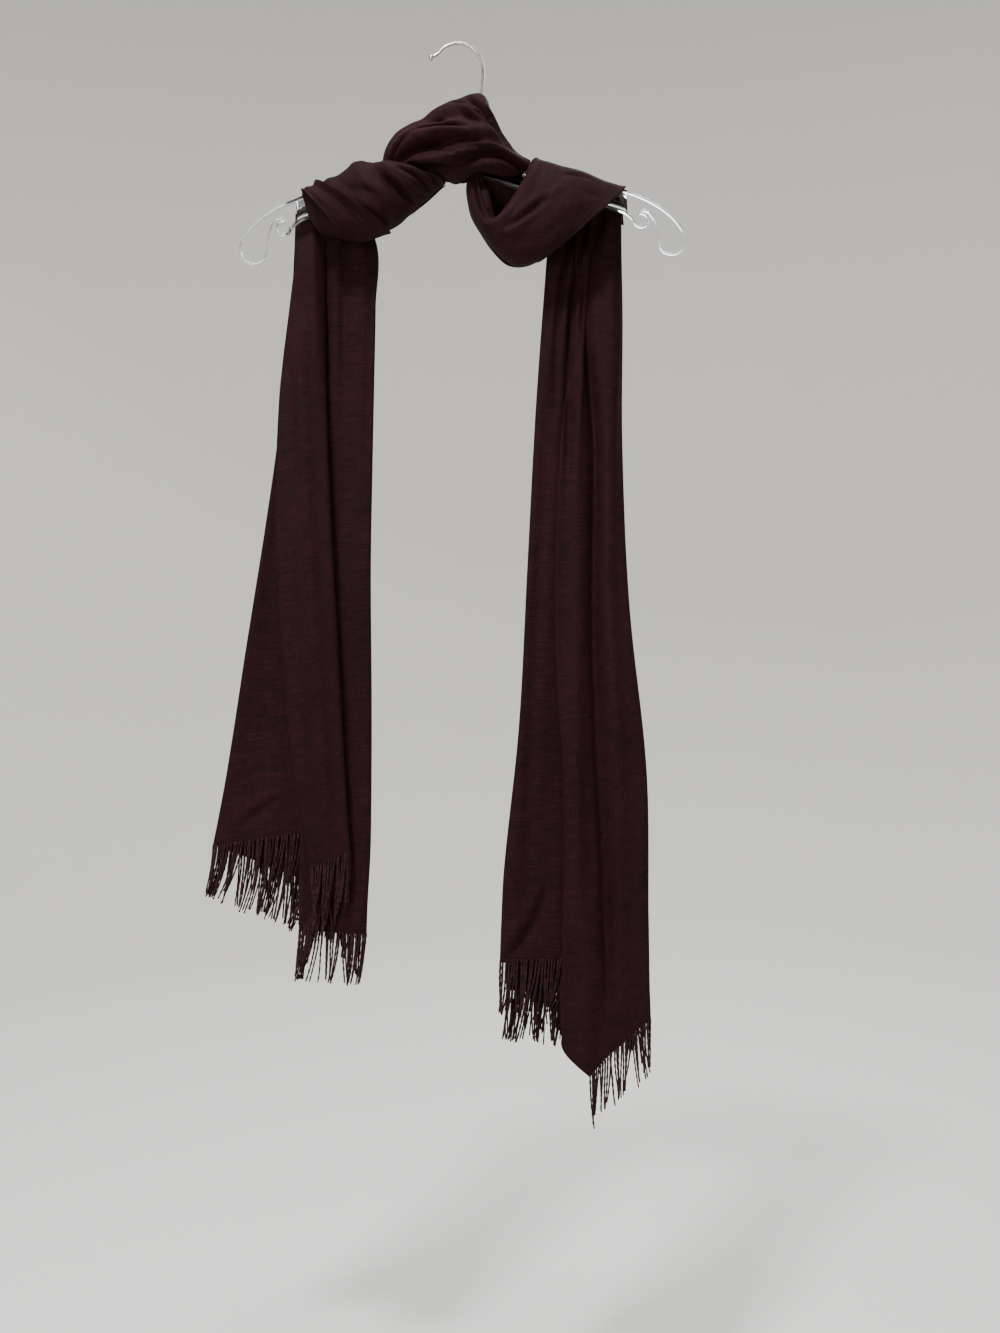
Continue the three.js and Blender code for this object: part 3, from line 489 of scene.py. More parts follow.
def wrap_sheet(wrap, steps, ring_steps):
    table = np.array(wrap["rings"], float)
    stations = np.arange(len(table)) / (len(table) - 1)
    u = np.arange(steps + 1) / steps
    ring = [along(stations, table[:, k], u)[:, None] for k in range(table.shape[1])]
    hx, hz, fx, fz, ex, ez, front, back, middle, start, reach = ring
    s = (np.arange(ring_steps + 1) / ring_steps)[None, :]
    turn = mix(start - 90, 90 + 180 * reach, s)
    behind = turn > 90
    angle = np.radians(turn)
    power = np.where(behind, BACK_ROUNDNESS, FRONT_ROUNDNESS)

    def rounded(v):
        return np.sign(v) * np.abs(v) ** power

    up = rounded(np.sin(angle))
    out = rounded(np.cos(angle))
    sags = wrap.get("sags", [0] * len(table))
    sag = np.where(behind, 0, along(stations, sags, u)[:, None] * out)
    low_x = np.where(behind, ex, fx)
    low_z = np.where(behind, ez, fz)
    depth = np.where(behind, back, front)
    grid = np.stack([
        mix(low_x, hx, (1 + up) / 2) + SAG_ASIDE * sag,
        middle - depth * out,
        mix(low_z, hz, (1 + up) / 2) - SAG_DOWN * sag,
    ], 2)
    normal = grid_normals(grid)
    facing = ease(0.5 - normal[:, :, 1] * 1.4)
    lift = crease_depth(wrap["creases"], grid[:, :, 0], grid[:, :, 2]) * facing
    inside = np.sqrt(np.sin(np.pi * u))[:, None]
    lift = lift + wrap.get("rear", 0) * inside * np.sin(RIPPLES * np.pi * s) * (1 - facing)
    share = np.broadcast_to(s, lift.shape)
    for at, wander, width, height, begin, end in wrap["pleats"]:
        centre = at + wander * (share - 0.5)
        window = ease((share - begin) / PLEAT_FADE) * (1 - ease((share - end + PLEAT_FADE) / PLEAT_FADE))
        lift = lift + height * window * bell((u[:, None] - centre) / width)
    first, first_width, last, last_width = wrap["lips"]
    step = np.linalg.norm(np.diff(grid, axis=0), axis=2).mean(axis=1)
    across = np.concatenate([[0], np.cumsum(step)])[:, None]
    lift = lift + first * bell(across / first_width) + last * bell((across[-1] - across) / last_width)
    if "rim" in wrap:
        step = np.linalg.norm(np.diff(grid, axis=1), axis=2)
        ahead = np.cumsum(step[:, ::-1], axis=1)[:, ::-1]
        left = np.concatenate([ahead, np.zeros((len(grid), 1))], axis=1)
        start_in = ease((u[:, None] - 0.05) / 0.1)
        lift = lift + wrap["rim"] * bell(left / RIM_WIDTH) * (reach < 0) * start_in
    lift = lift + wrap["rumple"] * rumple(grid[:, :, 0], grid[:, :, 2], wrap["seed"])
    return grid + normal * lift[:, :, None]


LEFT_INNER = {
    "rumple": 0.35, "seed": 0.7, "lips": (0, 1, 0.6, 3),
    "rings": [
        (-148, -142, -141, -165, -140, -167, 9, 6.5, 0, 4, 0.95),
        (-139, -138.8, -129, -179, -129, -179, 15.5, 7.5, 0, 4, 0.95),
        (-131.5, -135.8, -116, -183, -116, -183, 18.5, 7.5, 0, 4, 0.95),
        (-124, -128.7, -104, -184, -104, -184, 21, 7.5, 0, 4, 0.95),
        (-114, -126.4, -88, -182, -88, -182, 23.5, 7.5, 0, 4, 0.95),
        (-104, -119.5, -72, -178, -72, -178, 25, 8, 0, 4, 0.95),
        (-96, -113.6, -58, -171, -58, -171, 26, 10, 0, 4, 0.95),
        (-88, -112.8, -44, -160, -44, -160, 26, 12, 0, 4, 0.95),
        (-81, -116.4, -28, -147, -28, -147, 25, 14, 0, 4, 0.95),
        (-76, -116.4, -12, -131.5, -12, -131.5, 23, 14, 0, 4, 0.95),
    ],
    "creases": [
        (-4, 5, -80, -122, -66, -136, -50, -148, -38, -151), (2.5, 7, -74, -120, -52, -128, -30, -138),
        (2, 9, -96, -124, -80, -144, -60, -160), (1.5, 8, -140, -155, -128, -172, -108, -180),
        (-2, 3.5, -94, -142, -81, -148, -70, -154), (1.5, 4, -100, -149, -86, -159, -73, -165),
        (1.6, 1.6, -68, -129, -58, -135.6, -48.5, -143, -41, -149.6, -34, -153.5),
        (-4.2, 2.6, -66, -134, -56, -141, -46, -149.5, -38, -155.5),
        (-4, 1.7, -55, -126, -43, -130, -31, -136.5, -22, -142.5),
        (1.5, 1.8, -52, -123.5, -41, -127, -29, -133, -18, -138),
        (-3, 1.8, -36, -125, -26, -130, -16, -135.5), (-1.2, 4, -112, -134, -98, -146, -86, -166),
        (-1.6, 2.6, -144, -150, -137, -163, -124, -174),
    ],
    "pleats": [
        (0.62, 0.05, 0.05, 1, 0.1, 0.9), (0.78, -0.08, 0.04, -1, 0.05, 0.9),
        (0.9, 0.04, 0.035, 0.9, 0.1, 0.95), (0.7, 0.1, 0.03, -0.8, 0.45, 1.1),
    ],
}

LEFT_OUTER = {
    "rumple": 0.3, "seed": 2.9, "lips": (1.6, 2.5, 2.8, 4),
    "rings": [
        (-148, -139.9, -106, -187, -160, -184, 24, 28, 0, 14, 0.5),
        (-144.5, -138, -96, -189, -142, -188, 26.6, 28, 0, 12, 0.5),
        (-141, -136.6, -85, -188.5, -124, -188, 28, 28, 0, 12, 0.5),
        (-137.5, -135.1, -74, -185, -106, -184, 29.4, 28, 0, 12, 0.5),
        (-134.2, -133.6, -63, -179.5, -88, -176, 30, 28, 0, 14, 0.5),
    ],
    "creases": [
        (1.6, 5, -124, -138, -104, -152, -78, -170), (-1.5, 8, -132, -140, -112, -158, -92, -178),
        (-0.9, 3, -128, -142, -108, -158, -88, -174), (0.8, 2.6, -132, -150, -116, -163, -98, -180),
    ],
    "pleats": [
        (0.3, 0.1, 0.12, 0.7, 0.3, 1.2), (0.66, -0.1, 0.1, -0.7, 0.35, 1.2),
    ],
}

RIGHT_BAND = {
    "rumple": 0.35, "seed": 4.4, "lips": (0, 1, 1, 2.2), "rim": 3,
    "rings": [
        (27, -113, 10, -126, 27, -113, 5, 8, -7, 0, -0.15),
        (24, -131, 8, -138, 24, -131, 10, 8, -1, 0, -0.15),
        (28, -146, 9.5, -150, 28, -146, 15, 8, 0, 0, -0.15),
        (31, -160, 12.5, -163, 31, -160, 19, 8, 0, 0, -0.15),
        (34, -170, 18, -174, 34, -170, 21, 8, 0, 0, -0.15),
        (41, -168, 25, -184, 41, -168, 23, 8, 0, 0, -0.15),
        (52, -154, 32.5, -193, 52, -154, 26, 9, 0, 0, -0.14),
        (64, -134, 40, -201, 62, -136, 28, 12, 0, 0, -0.12),
        (74, -112.9, 46, -206, 68, -140, 30, 18, 0, 0, -0.07),
        (84, -113.3, 52, -209.5, 78, -150, 32, 25, 0, 0, 0.22),
        (100, -116.7, 58, -211, 96, -164, 33, 27.4, 0, 0, 0.38),
        (118, -122.5, 64, -210.5, 116, -174, 33, 27.8, 0, 0, 0.46),
        (138, -130, 70, -208.5, 139, -182, 30, 27.8, 0, 0, 0.5),
        (158, -135.7, 76, -205.5, 162, -188, 25, 27.8, 0, 0, 0.5),
    ],
    "sags": [0, 0, 0, 0, 0, 0, 0, 0, 0, 0, 1.5, 3.5, 5.5, 7.5],
    "creases": [
        (2, 8, 92, -118, 70, -160, 50, -190), (-2, 8, 84, -122, 64, -156, 44, -182),
        (1.4, 6, 150, -150, 112, -182, 76, -204), (-2.8, 1.6, 16, -126, 18, -143, 22, -160, 29, -172),
        (1.4, 1.8, 12.5, -128, 14.5, -145, 18, -162, 25, -177),
        (-2.4, 1.4, 21.5, -128, 23.5, -143, 27, -158),
        (-3.6, 3.6, 46, -181, 58, -174, 68, -167, 82, -156),
        (2.2, 3.5, 38, -186, 54, -183, 68, -174, 84, -162),
        (1.6, 3, 28, -179, 37, -176, 46, -169, 55, -158), (-1.6, 5, 42, -191, 58, -193, 74, -189),
        (-2.2, 2, 100, -131.5, 109, -130.5, 117, -132.4, 124, -135),
        (-1, 5, 72, -196, 96, -180, 124, -160), (0.9, 4, 62, -166, 84, -154, 108, -138),
        (-0.9, 3, 104, -142, 120, -150, 134, -152), (0.8, 3, 88, -190, 104, -176, 126, -156),
    ],
    "pleats": [
        (0.62, 0.12, 0.05, 0.8, 0.1, 0.8), (0.74, 0.06, 0.04, -0.9, 0.2, 1.1),
        (0.86, -0.05, 0.05, 0.7, 0.25, 1.2),
    ],
}

NECK = {
    "rear": 1.6, "rumple": 0.45, "seed": 5.6, "lips": (0, 1, 0, 1),
    "rings": [
        (-72, -116.6, -24, -127, -24, -127, 12, 9, -1, 24, 0.84),
        (-69, -102, -18, -129.5, -18, -128, 18, 14, -1, 18, 0.86),
        (-61, -87, -10, -132.5, -10, -128, 24, 20, 0, 14, 0.9),
        (-46, -78, -2, -135, -2, -128, 28, 24, 0, 12, 0.91),
        (-28, -71, 4, -136, 4, -128, 29, 26, 0, 20, 0.91),
        (-9, -58, 10, -137, 10, -128, 29, 27, 0, 30, 0.91),
        (8, -51, 17, -136, 17, -128, 28, 27, 0, 40, 0.91),
        (24, -50, 24, -136, 24, -128, 27, 26, 0, 40, 0.9),
        (31, -67, 32, -136, 32, -128, 25, 23, 0, 40, 0.88),
        (39, -84, 41, -134, 42, -127, 21, 19, 0, 40, 0.84),
        (50, -98, 52, -131, 52, -125, 15, 14, 0, 40, 0.8),
        (60, -107, 61, -126, 61, -122, 10, 10, 0, 40, 0.74),
        (68, -111, 68, -122, 68, -121, 7, 9, 0, 36, 0.5),
    ],
    "creases": [
        (-4, 6, -60, -90, -32, -79, -10, -80, 10, -85),
        (4.5, 6, -60, -106, -46, -92, -10, -88, 22, -92, 46, -99),
        (-5, 6, -42, -104, -14, -103, 14, -102), (4, 7, -40, -116, 10, -113, 40, -114, 60, -117),
        (3.5, 6, -30, -73, -6, -67, 16, -71, 34, -86), (-3, 6, 6, -57, 16, -66, 28, -80),
        (-6.5, 2.2, -41, -91.5, -30, -88.3, -16, -86.6, -2, -87, 10, -89.5),
        (1.8, 3.5, -57, -102, -39, -93.2, -16, -89.6, 12, -91.5, 40, -95.5),
        (-3, 1.8, -64, -118, -58.5, -107, -51, -98.5, -42, -93),
        (-3.5, 1.8, -24, -79, -17, -79.5, -11, -81),
        (1.6, 3, -27, -84, -12, -81.5, 6, -82, 24, -87.5, 38, -93),
        (-6.5, 2.2, 10, -57, 19.5, -66, 29.5, -77, 39, -92, 44, -98),
        (1.6, 1.6, 12, -62, 23.5, -72, 34.5, -86.5), (-4.5, 2, 12, -66, 17, -71, 24, -77, 33, -87),
        (1.6, 2, 8, -67.5, 16, -74, 28, -84, 37, -93), (-4.5, 3, 3, -71.5, 12, -77.5, 22, -85),
        (-3.5, 1.8, -7, -64, 0, -62.7, 8, -64.5),
        (-9.5, 4.5, -56, -115, -44, -109, -30, -104.5, -16, -100.5, -5, -98.5),
        (-5, 2.6, -6, -97.5, 10, -98.5, 22, -100.3),
        (2.4, 3, -22, -105, -4, -102, 12, -102.5, 30, -106, 50, -114),
        (-7.5, 3, 14, -105.5, 30, -108.5, 44.5, -113.3, 58, -119, 70, -124),
        (-3.4, 1.6, -30, -108.7, -12, -109.2, -3, -110.5),
        (2, 1.8, -48, -117, -36, -112.5, -20, -111.5, -10, -111.2),
        (1.8, 1.5, -12, -111.5, -8, -115.2, -2, -116.6), (1.5, 1.5, -1, -111.5, 6, -113.3, 12, -113.8),
        (-9, 4, 0, -117.5, 12, -115.2, 26, -112.6, 40, -113),
        (2.5, 3, -53, -118.5, -40, -116, -28, -115.4, -16, -117),
        (-8.5, 3.8, -44, -121, -30, -122.8, -14, -123.2, 5, -121),
        (3.5, 4.5, 8, -124.5, 22, -120.5, 38, -119, 58, -123),
    ],
    "pleats": [
        (0.5, 0.1, 0.03, -4, 0.5, 1.05), (0.56, -0.1, 0.03, 3, 0.5, 1),
        (0.36, 0.12, 0.035, -4.2, 0.52, 1.05), (0.43, 0.10, 0.04, 2.4, 0.55, 1),
        (0.28, 0.05, 0.035, 2.6, 0.5, 0.95), (0.22, 0.02, 0.03, -3.4, 0.54, 1),
        (0.65, -0.06, 0.03, -3.6, 0.5, 0.98), (0.74, -0.10, 0.035, 2.4, 0.52, 0.95),
    ],
}

# The loop behind the neck, from its first edge to its last: foot x, z; head x, z; swell to the back.
LOOP_ROWS = [
    (8, -138, 14, -118, 6),
    (13, -160, 25, -117, 12),
    (23, -181, 39, -118, 15),
    (42, -205, 54, -120, 15),
    (57, -210.5, 67, -123, 13),
    (73, -206, 79, -127, 12),
]
# Folds that run up the loop: place, wander, width, height.
LOOP_FOLDS = [
    (0.10, 0.04, 0.035, -3.5),
    (0.17, 0.05, 0.03, 3.5),
    (0.24, 0.07, 0.03, -4.5),
    (0.31, 0.08, 0.03, 3),
    (0.38, 0.09, 0.035, -3.5),
    (0.47, 0.10, 0.04, 3),
    (0.57, 0.10, 0.04, -2.5),
]
# The loop's Y at its foot, how much further back its head lies, the share of its rise that bellies, and the
# height of its broad waves.
LOOP_FOOT_Y, LOOP_LEAN, LOOP_BELLY, LOOP_WAVE = 0.6, 4.6, 0.8, 2


def loop_sheet(steps, across_steps):
    table = np.array(LOOP_ROWS, float)
    stations = np.arange(len(table)) / (len(table) - 1)
    u = np.arange(steps + 1) / steps
    fx, fz, hx, hz, swell = [along(stations, table[:, k], u)[:, None] for k in range(5)]
    rise = ease(np.arange(across_steps + 1) / across_steps)[None, :]
    q = np.minimum(rise / LOOP_BELLY, 1)
    belly = 2.8 * np.sqrt(q) * (1 - q) ** 1.2
    folds = LOOP_WAVE * np.sin(16 * u)[:, None]
    for at, wander, width, height in LOOP_FOLDS:
        folds = folds + height * bell((u[:, None] - at - wander * rise) / width)
    y = LOOP_FOOT_Y + LOOP_LEAN * rise + belly * (swell + folds)
    return np.stack([mix(fx, hx, rise), y, mix(fz, hz, rise)], 2)


# ---------------------------------------------------------------- the fringe
FRINGE = {
    "length": 47,
    "radius": 0.95,
    "taper": 0.28,
    "strands": 240,
    "rings": 16,
    "cluster": 4.6,  # strands in a cluster
    "pull": 7,  # the most that a cluster draws a strand aside
    "swing": 4,  # how far a cluster swings to either side
    "tuft": 13,  # the width of hem that the corner's tuft takes in
    "rooted": 1.2,  # how far a strand starts above the hem
    "twist": 26,  # a strand's turn from root to tip, in radians
    "flatness": 0.26,
}


def fringe_paths(hem, lean, sweep, tuft, seed):
    """Loosely twisted strands from a line of hem points, in small uneven clusters. The share tuft of those
    at the hem's first corner gather there. Strands lean more the further they are from the right end."""
    step = np.linalg.norm(np.diff(hem, axis=0), axis=1)
    length = np.concatenate([[0], np.cumsum(step)])
    count = FRINGE["strands"]
    n = np.arange(count)
    place = length[-1] * (n + 0.5 + 0.3 * scatter(n + seed)) / count
    roots = np.stack([np.interp(place, length, hem[:, k]) for k in range(3)], 1)
    cluster = np.floor(n / FRINGE["cluster"] + 0.9 * scatter(n // 5 + seed)).astype(int)
    right = hem[:, 0].max()
    t = np.linspace(0, 1, FRINGE["rings"])
    paths = []
    for k in range(count):
        mates = roots[cluster == cluster[k]].mean(axis=0)
        pull = np.clip(mates - roots[k], -FRINGE["pull"], FRINGE["pull"])
        swing = FRINGE["swing"] * scatter(cluster[k] * 7 + seed) + sweep
        tip_x = lean * (roots[k, 0] - right) + swing + 0.75 * pull[0] + 1.4 * scatter(k + 3 * seed)
        gather = bell(place[k] / FRINGE["tuft"]) * tuft
        tip_x = mix(tip_x, roots[0, 0] + 4 - roots[k, 0], 0.85 * gather)
        tip_y = 1.5 * scatter(cluster[k] * 3 + seed) + 0.8 * scatter(k + 5 * seed)
        long = FRINGE["length"] * (1 + 0.05 * scatter(k + 11 * seed) + 0.03 * scatter(cluster[k] + seed))
        wave = 1.1 * scatter(cluster[k] + 17 * seed) + 0.5 * scatter(k + 17 * seed)
        phase = 3 * scatter(k + 19 * seed)
        curl = t * t
        x = roots[k, 0] + tip_x * mix(t, curl, 0.6) + wave * np.sin(5 * t + phase) * t
        y = roots[k, 1] + tip_y * curl + 0.6 * wave * np.cos(6 * t + phase) * t
        z = roots[k, 2] + FRINGE["rooted"] - (long + FRINGE["rooted"]) * t
        radius = FRINGE["radius"] * (1 - FRINGE["taper"] * t) * (1 + 0.12 * scatter(k + 23 * seed))
        paths.append((np.stack([x, y, z], 1), radius, t * FRINGE["twist"] + phase, FRINGE["flatness"]))
    return paths


# ---------------------------------------------------------------- the hanger and its hook
# The right half's upper and lower rails before the tilt. The web between them ends where the curls begin.
HANGER_RAIL = [
    (0, -96), (14, -100), (40, -108), (80, -120), (120, -132), (150, -141), (157, -143.6), (166, -147),
    (182, -155), (197, -166), (207, -178), (211.5, -189), (208.5, -198.5), (200, -203.5), (190.5, -201),
    (186.5, -193), (185, -181), (182, -170), (176.5, -162.5), (170, -161),
]
LOWER_RAIL = [(0, -120), (26, -127), (59, -138), (100, -148), (141, -158), (157, -164.6), (164, -172)]
WEB_TOP, WEB_FOOT, WEB_DEPTH = 7, 6, 1.6
RAIL_SECTION = (2, 6, 0.7)  # width, depth and corner radius
# The scroll inside each curl: middle and radius, where it starts and how far it turns in radians, points.
SCROLL = (170, -170.5, 6.5)
SCROLL_START, SCROLL_TURN, SCROLL_POINTS = 1.9, 5.2, 24
# The collar that takes the hook: its lower and upper radius, its height, and its middle above the crest.
COLLAR_LOW, COLLAR_HIGH, COLLAR_HEIGHT, COLLAR_RISE = 6, 4.8, 16, 4
# The hook: the wire, its bend's radius, the ball at its tip (x, z, radius), what the hanger's bore leaves
# round and below the wire and the neck's hole round it, and the line of its stem.
HOOK_WIRE, HOOK_RADIUS = 3.2, 23.3
HOOK_TIP = (-25.5, -12, 2.6)
BORE_GAP, BORE_DROP, NECK_GAP = 0.25, 0.4, 0.6
HOOK_STEM = [(2.2, -94), (2, -84), (6, -74), (15, -62), (21, -50), (23.2, -36)]


def curve_through(line, count):
    """Points on a smooth curve through a line of corners in the hanger's plane."""
    line = np.array(line, float)
    gaps = np.sqrt(np.linalg.norm(np.diff(line, axis=0), axis=1))
    stations = np.concatenate([[0], np.cumsum(gaps)])
    t = np.linspace(0, stations[-1], count)
    return np.stack([along(stations, line[:, 0], t), along(stations, line[:, 1], t)], 1)


def rounded_section(width, depth, radius, corner_steps=3):
    points = []
    for cx, cy, first in ((1, 1, 0), (-1, 1, 90), (-1, -1, 180), (1, -1, 270)):
        for k in range(corner_steps + 1):
            a = math.radians(first + 90 * k / corner_steps)
            points.append((
                cx * (width / 2 - radius) + radius * math.cos(a),
                cy * (depth / 2 - radius) + radius * math.sin(a),
            ))
    return np.array(points)


def bar_object(name, line, count, width, depth, radius):
    """A bar with a rounded rectangular section along a curve in the hanger's plane."""
    points = curve_through(line, count)
    tangent = np.gradient(points, axis=0)
    tangent /= np.linalg.norm(tangent, axis=1, keepdims=True)
    section = rounded_section(width, depth, radius)
    x = points[:, None, 0] - tangent[:, None, 1] * section[None, :, 0]
    z = points[:, None, 1] + tangent[:, None, 0] * section[None, :, 0]
    y = np.broadcast_to(section[None, :, 1], x.shape)
    return ring_object(name, np.stack([x, y, z], 2) * MM)


def plate_object(name, outline, depth):
    """A flat plate with an outline in the hanger's plane."""
    rings = [[(x, y, z) for x, z in outline] for y in (-depth / 2, depth / 2)]
    return ring_object(name, np.array(rings) * MM)


def boolean(piece, other, operation):
    """Joins the other solid to the piece, or cuts it away, and deletes the other."""
    modifier = piece.modifiers.new("cut", "BOOLEAN")
    modifier.operation = operation
    modifier.solver = "MANIFOLD"
    modifier.object = other
    depsgraph = bpy.context.evaluated_depsgraph_get()
    mesh = bpy.data.meshes.new_from_object(piece.evaluated_get(depsgraph), depsgraph=depsgraph)
    used = piece.data, other.data
    piece.modifiers.clear()
    piece.data = mesh
    bpy.data.objects.remove(other)
    for old in used:
        bpy.data.meshes.remove(old)


def hook_line(count):
    """Points along the wire's middle from the stem's foot round the bend to the tip."""
    centre = HOOK_WIRE / 2 - HOOK_RADIUS
    line = list(HOOK_STEM)
    for degrees in (0, 30, 60, 90, 120, 145):
        a = math.radians(degrees)
        line.append((HOOK_RADIUS * math.cos(a), centre + HOOK_RADIUS * math.sin(a)))
    line.append(HOOK_TIP[:2])
    flat = curve_through(line, count)
    return np.stack([flat[:, 0], 0 * flat[:, 0], flat[:, 1]], 1)


def wire(name, points, radius, sides):
    count = len(points)
    return tubes(name, [(points, np.full(count, radius), np.zeros(count), 0.0)], sides)


def solid_at(name, x, z, create, **sizes):
    """A bmesh solid of sizes in metres, moved to a place in millimetres."""
    bm = bmesh.new()
    create(bm, **sizes)
    for v in bm.verts:
        v.co.x += x * MM
        v.co.z += z * MM
    return finish_bmesh(name, bm)


def build_hanger():
    """Both halves' rails, scrolls and webs joined to one solid, with the collar and the hook's bore."""
    tilt = np.array([[math.cos(TILT), -math.sin(TILT)], [math.sin(TILT), math.cos(TILT)]])

    def tilted(line, side):
        return [tuple(tilt @ np.array((side * x, z))) for x, z in line]

    whole = None
    for side in (1, -1):
        x, z, radius = SCROLL
        turns = [SCROLL_START - k / (SCROLL_POINTS - 1) * SCROLL_TURN for k in range(SCROLL_POINTS)]
        ring = [(x + radius * math.cos(a), z + radius * math.sin(a)) for a in turns]
        upper = [tuple(p) for p in curve_through(HANGER_RAIL[:WEB_TOP], 25)]
        lower = [tuple(p) for p in curve_through(LOWER_RAIL[:WEB_FOOT], 25)]
        parts = [
            bar_object("bar", tilted(HANGER_RAIL, side), 110, *RAIL_SECTION),
            bar_object("bar", tilted(LOWER_RAIL, side), 50, *RAIL_SECTION),
            bar_object("bar", tilted(ring, side), 40, *RAIL_SECTION),
            plate_object("web", tilted(upper + lower[::-1], side), WEB_DEPTH),
        ]
        for part in parts:
            if whole is None:
                whole = part
            else:
                boolean(whole, part, "UNION")
    collar = solid_at(
        "collar", *(tilt @ np.array((0.0, RAIL_CREST + COLLAR_RISE))), bmesh.ops.create_cone,
        cap_ends=True, segments=32, radius1=COLLAR_LOW * MM, radius2=COLLAR_HIGH * MM,
        depth=COLLAR_HEIGHT * MM,
    )
    boolean(whole, collar, "UNION")
    bore = wire("bore", hook_line(90) - [0, 0, BORE_DROP], HOOK_WIRE / 2 + BORE_GAP, 16)
    boolean(whole, bore, "DIFFERENCE")
    whole.name = "hanger_plastic"
    shade_smooth(whole.data)
    return whole


# ---------------------------------------------------------------- materials


def new_material(name, constants):
    """A material with one shader, and its constants on the shader's own sockets."""
    material = bpy.data.materials.new(name)
    material.use_nodes = True
    tree = material.node_tree
    tree.nodes.clear()
    surface = tree.nodes.new("ShaderNodeBsdfPrincipled")
    output = tree.nodes.new("ShaderNodeOutputMaterial")
    tree.links.new(surface.outputs["BSDF"], output.inputs["Surface"])
    for socket, value in constants.items():
        surface.inputs[socket].default_value = value
    return material, tree, surface


def linear(r, g, b):
    """An sRGB colour given from 0 to 255, as Blender's linear one."""
    shares = (c / 255 for c in (r, g, b))
    return tuple(((c + 0.055) / 1.055) ** 2.4 if c > 10 / 255 else c / 12.92 for c in shares) + (1,)


def stretched_noise(tree, vector, scale, detail=2.0, rough=0.5):
    mapping = tree.nodes.new("ShaderNodeMapping")
    mapping.inputs["Scale"].default_value = scale
    noise = tree.nodes.new("ShaderNodeTexNoise")
    noise.inputs["Scale"].default_value = 1.0
    noise.inputs["Detail"].default_value = detail
    noise.inputs["Roughness"].default_value = rough
    tree.links.new(vector, mapping.inputs["Vector"])
    tree.links.new(mapping.outputs["Vector"], noise.inputs["Vector"])
    return noise.outputs["Fac"]


def object_noise(tree, scale):
    return stretched_noise(tree, tree.nodes.new("ShaderNodeTexCoord").outputs["Object"], scale)


def math_node(tree, operation, a, b):
    node = tree.nodes.new("ShaderNodeMath")
    node.operation = operation
    for socket, value in zip(node.inputs, (a, b)):
        if isinstance(value, (int, float)):
            socket.default_value = value
        else:
            tree.links.new(value, socket)
    return node.outputs["Value"]


def blended(tree, shares):
    """The sum of noises, each times its share."""
    total = None
    for noise, share in shares:
        part = math_node(tree, "MULTIPLY", noise, share)
        total = part if total is None else math_node(tree, "ADD", total, part)
    return total


def bumped(tree, surface, height, strength, distance):
    bump = tree.nodes.new("ShaderNodeBump")
    bump.inputs["Strength"].default_value = strength
    bump.inputs["Distance"].default_value = distance
    tree.links.new(height, bump.inputs["Height"])
    tree.links.new(bump.outputs["Normal"], surface.inputs["Normal"])


def painted(tree, surface, factor, stops):
    node = tree.nodes.new("ShaderNodeValToRGB")
    elements = node.color_ramp.elements
    while len(elements) < len(stops):
        elements.new(0.5)
    for element, (position, colour) in zip(elements, stops):
        element.position = position
        element.color = colour
    tree.links.new(factor, node.inputs["Fac"])
    tree.links.new(node.outputs["Color"], surface.inputs["Base Color"])


def cloth_material():
    """A loose weave of uneven yarn, laid along the weave attribute's own directions."""
    material, tree, surface = new_material("woven_cloth", {
        "Specular IOR Level": 0.08,
        "Sheen Weight": 0.02,
        "Sheen Roughness": 0.45,
        "Sheen Tint": linear(190, 130, 130),
    })
    attribute = tree.nodes.new("ShaderNodeAttribute")
    attribute.attribute_name = "weave"
    weave = attribute.outputs["Vector"]
    weft = stretched_noise(tree, weave, (55, 900, 1), 3.0, 0.6)
    warp = stretched_noise(tree, weave, (1100, 70, 1))
    threads = stretched_noise(tree, weave, (260, 2300, 1), 1.0)
    patches = stretched_noise(tree, weave, (14, 9, 1))
    painted(tree, surface, blended(tree, [(weft, 0.6), (warp, 0.25), (patches, 0.15)]), [
        (0.39, linear(16, 4, 7)),
        (0.5, linear(27, 8, 11)),
        (0.61, linear(40, 14, 17)),
    ])
    bumped(tree, surface, blended(tree, [(threads, 0.6), (weft, 0.5), (warp, 0.35)]), 0.7, 0.00055)
    rough = math_node(tree, "ADD", math_node(tree, "MULTIPLY", weft, 0.2), 0.68)
    tree.links.new(rough, surface.inputs["Roughness"])
    return material


def fringe_material():
    material, tree, surface = new_material("twisted_yarn", {
        "Roughness": 0.85,
        "Specular IOR Level": 0.1,
        "Sheen Weight": 0.02,
    })
    noise = object_noise(tree, (900, 900, 260))
    painted(tree, surface, noise, [
        (0.35, linear(18, 7, 9)),
        (0.5, linear(35, 15, 18)),
        (0.68, linear(60, 31, 35)),
    ])
    bumped(tree, surface, noise, 0.5, 0.0003)
    return material


def plastic_material():
    material, tree, surface = new_material("clear_moulded_plastic", {
        "Roughness": 0.06,
        "IOR": 1.49,
        "Transmission Weight": 1.0,
    })
    ripple = object_noise(tree, (60, 60, 60))
    bumped(tree, surface, ripple, 0.25, 0.0006)
    painted(tree, surface, ripple, [(0.3, (0.93, 0.95, 0.95, 1)), (0.7, (0.98, 0.99, 0.99, 1))])
    return material


def steel_material():
    material, tree, surface = new_material("drawn_steel_wire", {"Metallic": 1.0})
    draw = object_noise(tree, (700, 700, 90))
    rough = math_node(tree, "ADD", math_node(tree, "MULTIPLY", draw, 0.22), 0.16)
    tree.links.new(rough, surface.inputs["Roughness"])
    painted(tree, surface, draw, [(0.3, linear(150, 144, 136)), (0.7, linear(205, 200, 194))])
    return material


# ---------------------------------------------------------------- the object
cloth = cloth_material()
yarn = fringe_material()
plastic = plastic_material()
steel = steel_material()


